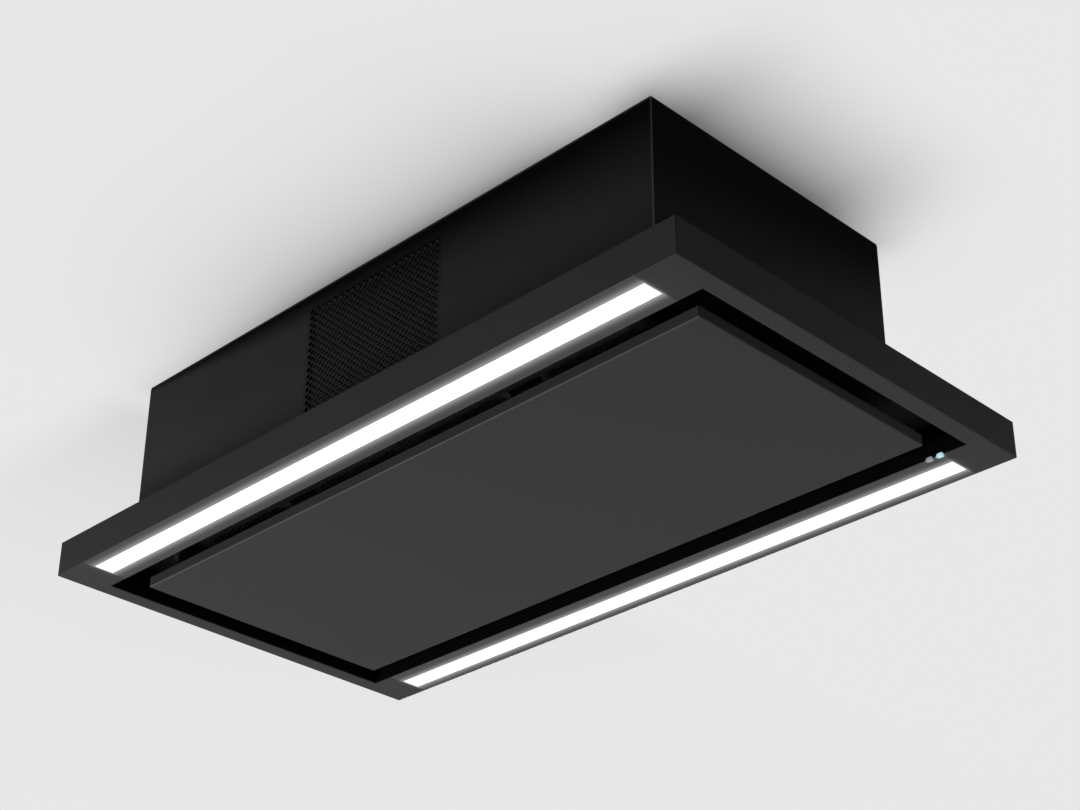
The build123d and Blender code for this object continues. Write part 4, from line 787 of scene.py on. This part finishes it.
def folds(shape):
    return [e for e in shape.edges if e.calc_face_angle(0.0) > FOLD_ANGLE]

def look_down(shape, axis):
    """Makes the faces agree, so that the sheet's lowest face along an axis looks down it."""
    for face in shape.faces:
        face.normal_update()
    bmesh.ops.recalc_face_normals(shape, faces=shape.faces[:])
    level = min(f.calc_center_median()[axis] for f in shape.faces)
    lowest = [f for f in shape.faces if f.calc_center_median()[axis] < level + NEAR]
    if max(lowest, key=lambda f: f.calc_area()).normal[axis] > 0:
        bmesh.ops.reverse_faces(shape, faces=shape.faces[:])

print("an edge counts as a fold from", round(math.degrees(FOLD_ANGLE)), "degrees")

# %% [markdown]
# ## The tray
# On the real hood the tray is one folded sheet: a flat underside with a large mouth, an outer
# skirt and inner returns. Cut from a block it would have knife edges that never catch the light.
# Folding it as a sheet, with a small radius along each fold, gives the thin bright line that the
# photograph shows along the tray's lower edge. The blank comes first, with its mouth and with a
# window for each lamp strip.

# %% Tray sheet
LAMP_PLAY = 0.0003
WINDOW_X = LAMP_HALF_X + LAMP_PLAY
WINDOW_LOW, WINDOW_HIGH = LAMP_Y - LAMP_HALF_Y - LAMP_PLAY, LAMP_Y + LAMP_HALF_Y + LAMP_PLAY
tray = flat_sheet(TRAY_X, TRAY_Y, TRAY_BOTTOM)
cut_at(tray, 0, (-MOUTH_X, -WINDOW_X, WINDOW_X, MOUTH_X))
cut_at(tray, 1, (-WINDOW_HIGH, -WINDOW_LOW, -MOUTH_Y, MOUTH_Y, WINDOW_LOW, WINDOW_HIGH))
drop_faces(tray, lambda c: abs(c.x) < MOUTH_X and abs(c.y) < MOUTH_Y)
drop_faces(tray, lambda c: abs(c.x) < WINDOW_X and WINDOW_LOW < abs(c.y) < WINDOW_HIGH)
print("tray underside:", len(tray.faces), "faces")

# %% [markdown]
# The skirt is folded up from the outer rim and the returns from the mouth's rim. The returns then
# turn outward under the deck, where the deck screws hold them.

# %% Skirt and returns
DECK_UNDER = corners("tray_deck")[0][2]
RETURN_OUT = 0.016

def rim(shape, half_x, half_y, level):
    """The open edges along a rectangle's outline."""
    found = []
    for edge in shape.edges:
        middle = (edge.verts[0].co + edge.verts[1].co) / 2
        on_x = abs(abs(middle.x) - half_x) < NEAR and abs(middle.y) < half_y + NEAR
        on_y = abs(abs(middle.y) - half_y) < NEAR and abs(middle.x) < half_x + NEAR
        if edge.is_boundary and abs(middle.z - level) < NEAR and (on_x or on_y):
            found.append(edge)
    return found

raise_edges(tray, rim(tray, TRAY_X, TRAY_Y, TRAY_BOTTOM), (0, 0, TRAY_TOP - TRAY_BOTTOM))
lip = raise_edges(tray, rim(tray, MOUTH_X, MOUTH_Y, TRAY_BOTTOM), (0, 0, DECK_UNDER - TRAY_BOTTOM))
turn_edges(tray, lip, MOUTH_X, MOUTH_Y, RETURN_OUT)
print("tray with skirt and returns:", len(tray.faces), "faces")

# %% [markdown]
# The folds are rounded next, while the tray is still a skin, and then the skin is given the
# thickness of the sheet on its inner side. The returns face into the slot, where hardly any light
# gets, so they are given a near-black painted shade, which is also duller.

# %% Folds and thickness
TRAY_SHEET, MOUTH_PLAY = 0.0015, 0.0001
round_edges(tray, folds(tray), FOLD, 4)
look_down(tray, 2)
bmesh.ops.solidify(tray, geom=tray.faces[:], thickness=TRAY_SHEET)
tray_piece = finish_piece(tray, "tray_shell", "tray_frame", black_coat_tray_painted_glow, "housing")
# The faces inside the mouth take the painted shade.
tray_piece.data.materials.append(black_coat_mouth_painted_shade)
for face in tray_piece.data.polygons:
    within = (abs(face.center.x) < MOUTH_X + MOUTH_PLAY
              and abs(face.center.y) < MOUTH_Y + MOUTH_PLAY)
    face.material_index = int(within and face.center.z > TRAY_BOTTOM + FOLD)
print("faces in the mouth:", sum(face.material_index for face in tray_piece.data.polygons))

# %% [markdown]
# ## The panel
# The panel is a shallow pan of the same painted sheet, folded up on four sides with a narrow
# return at the top. It hangs a millimetre below the tray. Its lower edge is the brightest line on
# the hood, so its fold gets a slightly larger radius.

# %% Panel sheet
PANEL_LIP, PANEL_SHEET = 0.012, 0.0012
panel = flat_sheet(PANEL_X, PANEL_Y, PANEL_BOTTOM)
lip = raise_edges(panel, panel.edges[:], (0, 0, PANEL_TOP - PANEL_BOTTOM))
turn_edges(panel, lip, PANEL_X, PANEL_Y, -PANEL_LIP)
round_edges(panel, folds(panel), PANEL_FOLD, 4)
look_down(panel, 2)
bmesh.ops.solidify(panel, geom=panel.faces[:], thickness=PANEL_SHEET)
finish_piece(panel, "panel_pan", "panel_skin", black_coat_panel_painted_highlight, "suction_panel")

# %% [markdown]
# ## The perforated wall
# Recirculated air leaves through lozenges punched in the casing's long wall. The engineering
# model has lozenges three times the real size, so here the wall is made again at the real pitch.
# Small lozenges side by side tile a plane, like a net: a grid is turned by 45 degrees and
# squeezed, each cell is inset, and the middles are taken out. What is left is the net of straight
# webs. It is made flat, and then stood up.

# %% Net of lozenges
PITCH_X, PITCH_Z, WEB = 0.0092, 0.0079, 0.0014

def lozenge_net(half_x, half_y, pitch_x, pitch_y, web):
    """A flat net in the XY plane round the origin, at most as wide and as long as asked."""
    net = bmesh.new()
    reach = 2 * (int(max(half_x / pitch_x, half_y / pitch_y)) + 2)
    bmesh.ops.create_grid(net, x_segments=2 * reach, y_segments=2 * reach, size=reach)
    bmesh.ops.rotate(net, verts=net.verts[:], matrix=Matrix.Rotation(math.radians(45), 3, "Z"))
    squeeze = 1 / math.sqrt(2)
    bmesh.ops.scale(net, verts=net.verts[:], vec=(squeeze * pitch_x, squeeze * pitch_y, 1.0))
    last_x, last_y = half_x - 0.49 * pitch_x, half_y - 0.49 * pitch_y
    drop_faces(net, lambda c: abs(c.x) > last_x or abs(c.y) > last_y)
    cells = net.faces[:]
    bmesh.ops.inset_individual(net, faces=cells, thickness=web / 2, use_even_offset=True)
    bmesh.ops.delete(net, geom=cells, context="FACES_ONLY")
    print("net of", len(cells), "lozenges,", len(net.faces), "faces")
    return net

UPRIGHT = Matrix.Rotation(math.radians(90), 3, "X")
wall = lozenge_net(GRILLE_X, GRILLE_Z, PITCH_X, PITCH_Z, WEB)
bmesh.ops.rotate(wall, verts=wall.verts[:], matrix=UPRIGHT)

# %% [markdown]
# The net has a saw-toothed rim, because only whole lozenges are punched. The sheet round it is a
# plain rectangle with a square hole. The teeth are the net's open edges that are a lozenge's whole
# side long, as the edges of its holes are shorter.

# %% Teeth and blank
lozenge_side = math.hypot(PITCH_X, PITCH_Z) / 2
teeth = [e for e in wall.edges if e.is_boundary and e.calc_length() > 0.9 * lozenge_side]
bmesh.ops.translate(wall, verts=wall.verts[:], vec=(0, CASING_FRONT, GRILLE_MID))
blank = bmesh.ops.create_grid(wall, x_segments=1, y_segments=1, size=1.0)["verts"]
bmesh.ops.rotate(wall, verts=blank, matrix=UPRIGHT)
bmesh.ops.scale(wall, verts=blank, vec=(CASING_X, 1.0, (CASING_TOP - CASING_FOOT) / 2))
bmesh.ops.translate(wall, verts=blank, vec=(0, CASING_FRONT, (CASING_TOP + CASING_FOOT) / 2))
plain = [f for f in wall.faces if all(v in blank for v in f.verts)]
print("teeth:", len(teeth), "edges, blank:", len(plain), "face")

# %% [markdown]
# The blank is cut across at the sides of the square hole, and its middle comes out. The strip
# between the hole and the teeth is then filled with triangles, which lie flat in the sheet.

# %% Square hole round the net
HOLE_ROOM = 0.003
HOLE_X, HOLE_Z = GRILLE_X + HOLE_ROOM, GRILLE_Z + HOLE_ROOM
plain = cut_at(wall, 0, (-HOLE_X, HOLE_X), plain)
plain = cut_at(wall, 2, (GRILLE_MID - HOLE_Z, GRILLE_MID + HOLE_Z), plain)
middle = [f for f in plain if abs(f.calc_center_median().x) < HOLE_X
          and abs(f.calc_center_median().z - GRILLE_MID) < HOLE_Z]
hole_edges = [e for f in middle for e in f.edges]
bmesh.ops.delete(wall, geom=middle, context="FACES_ONLY")
filled = bmesh.ops.triangle_fill(wall, edges=teeth + hole_edges, use_beauty=True,
                                 use_dissolve=False, normal=(0, -1, 0))
print("filled with", len([g for g in filled["geom"] if isinstance(g, bmesh.types.BMFace)]), "faces")

# %% [markdown]
# The top and bottom edges are folded in as flanges, and the skin is given the sheet's thickness.
# Last, the two upright corners of the wall get a small round edge.

# %% Flanges, folds and thickness of the wall
FLANGE, WALL_SHEET, WALL_FOLD, CORNER_ROUND = 0.014, 0.0012, 0.0013, 0.0007

def edges_at(shape, level):
    return [e for e in shape.edges if e.is_boundary
            and all(abs(v.co.z - level) < NEAR for v in e.verts)]

raise_edges(wall, edges_at(wall, CASING_TOP), (0, FLANGE, 0))
raise_edges(wall, edges_at(wall, CASING_FOOT), (0, FLANGE, 0))
look_down(wall, 1)
round_edges(wall, folds(wall), WALL_FOLD, 3)
bmesh.ops.solidify(wall, geom=wall.faces[:], thickness=WALL_SHEET)
uprights = [e for e in wall.edges if all(abs(abs(v.co.x) - CASING_X) < NEAR for v in e.verts)
            and all(abs(v.co.y - CASING_FRONT) < NEAR for v in e.verts)]
round_edges(wall, uprights, CORNER_ROUND, 3)
finish_piece(wall, "outlet_wall", "casing_front", black_coat_casing_painted_shade_and_highlight, "housing")

# %% [markdown]
# ## The filters' mesh
# Each grease filter holds layers of expanded aluminium mesh. A bump pattern looks right from far
# away, but the panel swings down for cleaning and then the mesh is seen close by. The net helper
# makes a real open layer below a second one with its lozenges turned by a right angle. Both leave
# room for the latch's housing.

# %% Expanded mesh
MESH_WEB, MESH_SHEET = 0.0013, 0.0005
MESH_LAYERS = ((-0.1994, 0.0110, 0.0056), (-0.1974, 0.0062, 0.0118))
LATCH_ROOM_X, LATCH_ROOM_Y = 0.0323, -0.1297
for side in ("left", "right"):
    low, high = corners("filter_mesh_" + side)
    mid_x, mid_y = (low[0] + high[0]) / 2, (low[1] + high[1]) / 2
    layers = bmesh.new()
    for level, pitch_x, pitch_y in MESH_LAYERS:
        net = lozenge_net(high[0] - mid_x, high[1] - mid_y, pitch_x, pitch_y, MESH_WEB)
        drop_faces(net, lambda c: abs(c.x) < LATCH_ROOM_X and c.y + mid_y < LATCH_ROOM_Y)
        bmesh.ops.translate(net, verts=net.verts[:], vec=(mid_x, mid_y, level))
        bmesh.ops.solidify(net, geom=net.faces[:], thickness=MESH_SHEET)
        spare = bpy.data.meshes.new("spare")
        net.to_mesh(spare)
        net.free()
        layers.from_mesh(spare)
        bpy.data.meshes.remove(spare)
    finish_piece(layers, "mesh_layers_" + side, "filter_mesh_" + side, filter_mesh,
                 "housing")

# %% [markdown]
# ## Which lamp lights what
# In the photograph the casing and the tray look as if each had its own lamps: the tray's sides
# are evenly lit, and the casing is dark but for a glow from the far left. Flags do this in a
# studio. Here light linking does it: two lamps reach only the casing and the charcoal behind its
# holes, and three reach all but the casing and what lies behind the panel.

# %% Light linking
def aim(lamps, pieces, state):
    """The lamps light only these pieces, or all but these."""
    group = bpy.data.collections.new(lamps[0].name + "_pieces")
    for name in pieces:
        group.objects.link(bpy.data.objects[name])
    for member in group.collection_objects:
        member.light_linking.link_state = state
    for lamp in lamps:
        lamp.light_linking.receiver_collection = group
    print(state.lower(), len(pieces), "pieces:", [lamp.name for lamp in lamps])

CASING_WALLS = ["outlet_wall", "casing_back", "casing_end_left", "casing_end_right"]
BEHIND_PANEL = ("filter_", "hinge_bracket_", "magnet_holders", "panel_backing", "panel_magnets")
behind = ["tray_deck", "mesh_layers_left", "mesh_layers_right"]
behind += [name for name in nodes if name.startswith(BEHIND_PANEL)]
aim(casing_lamps, CASING_WALLS + ["charcoal_block", "charcoal_frame"], "INCLUDE")
aim(tray_lamps, CASING_WALLS + behind, "EXCLUDE")

# %% [markdown]
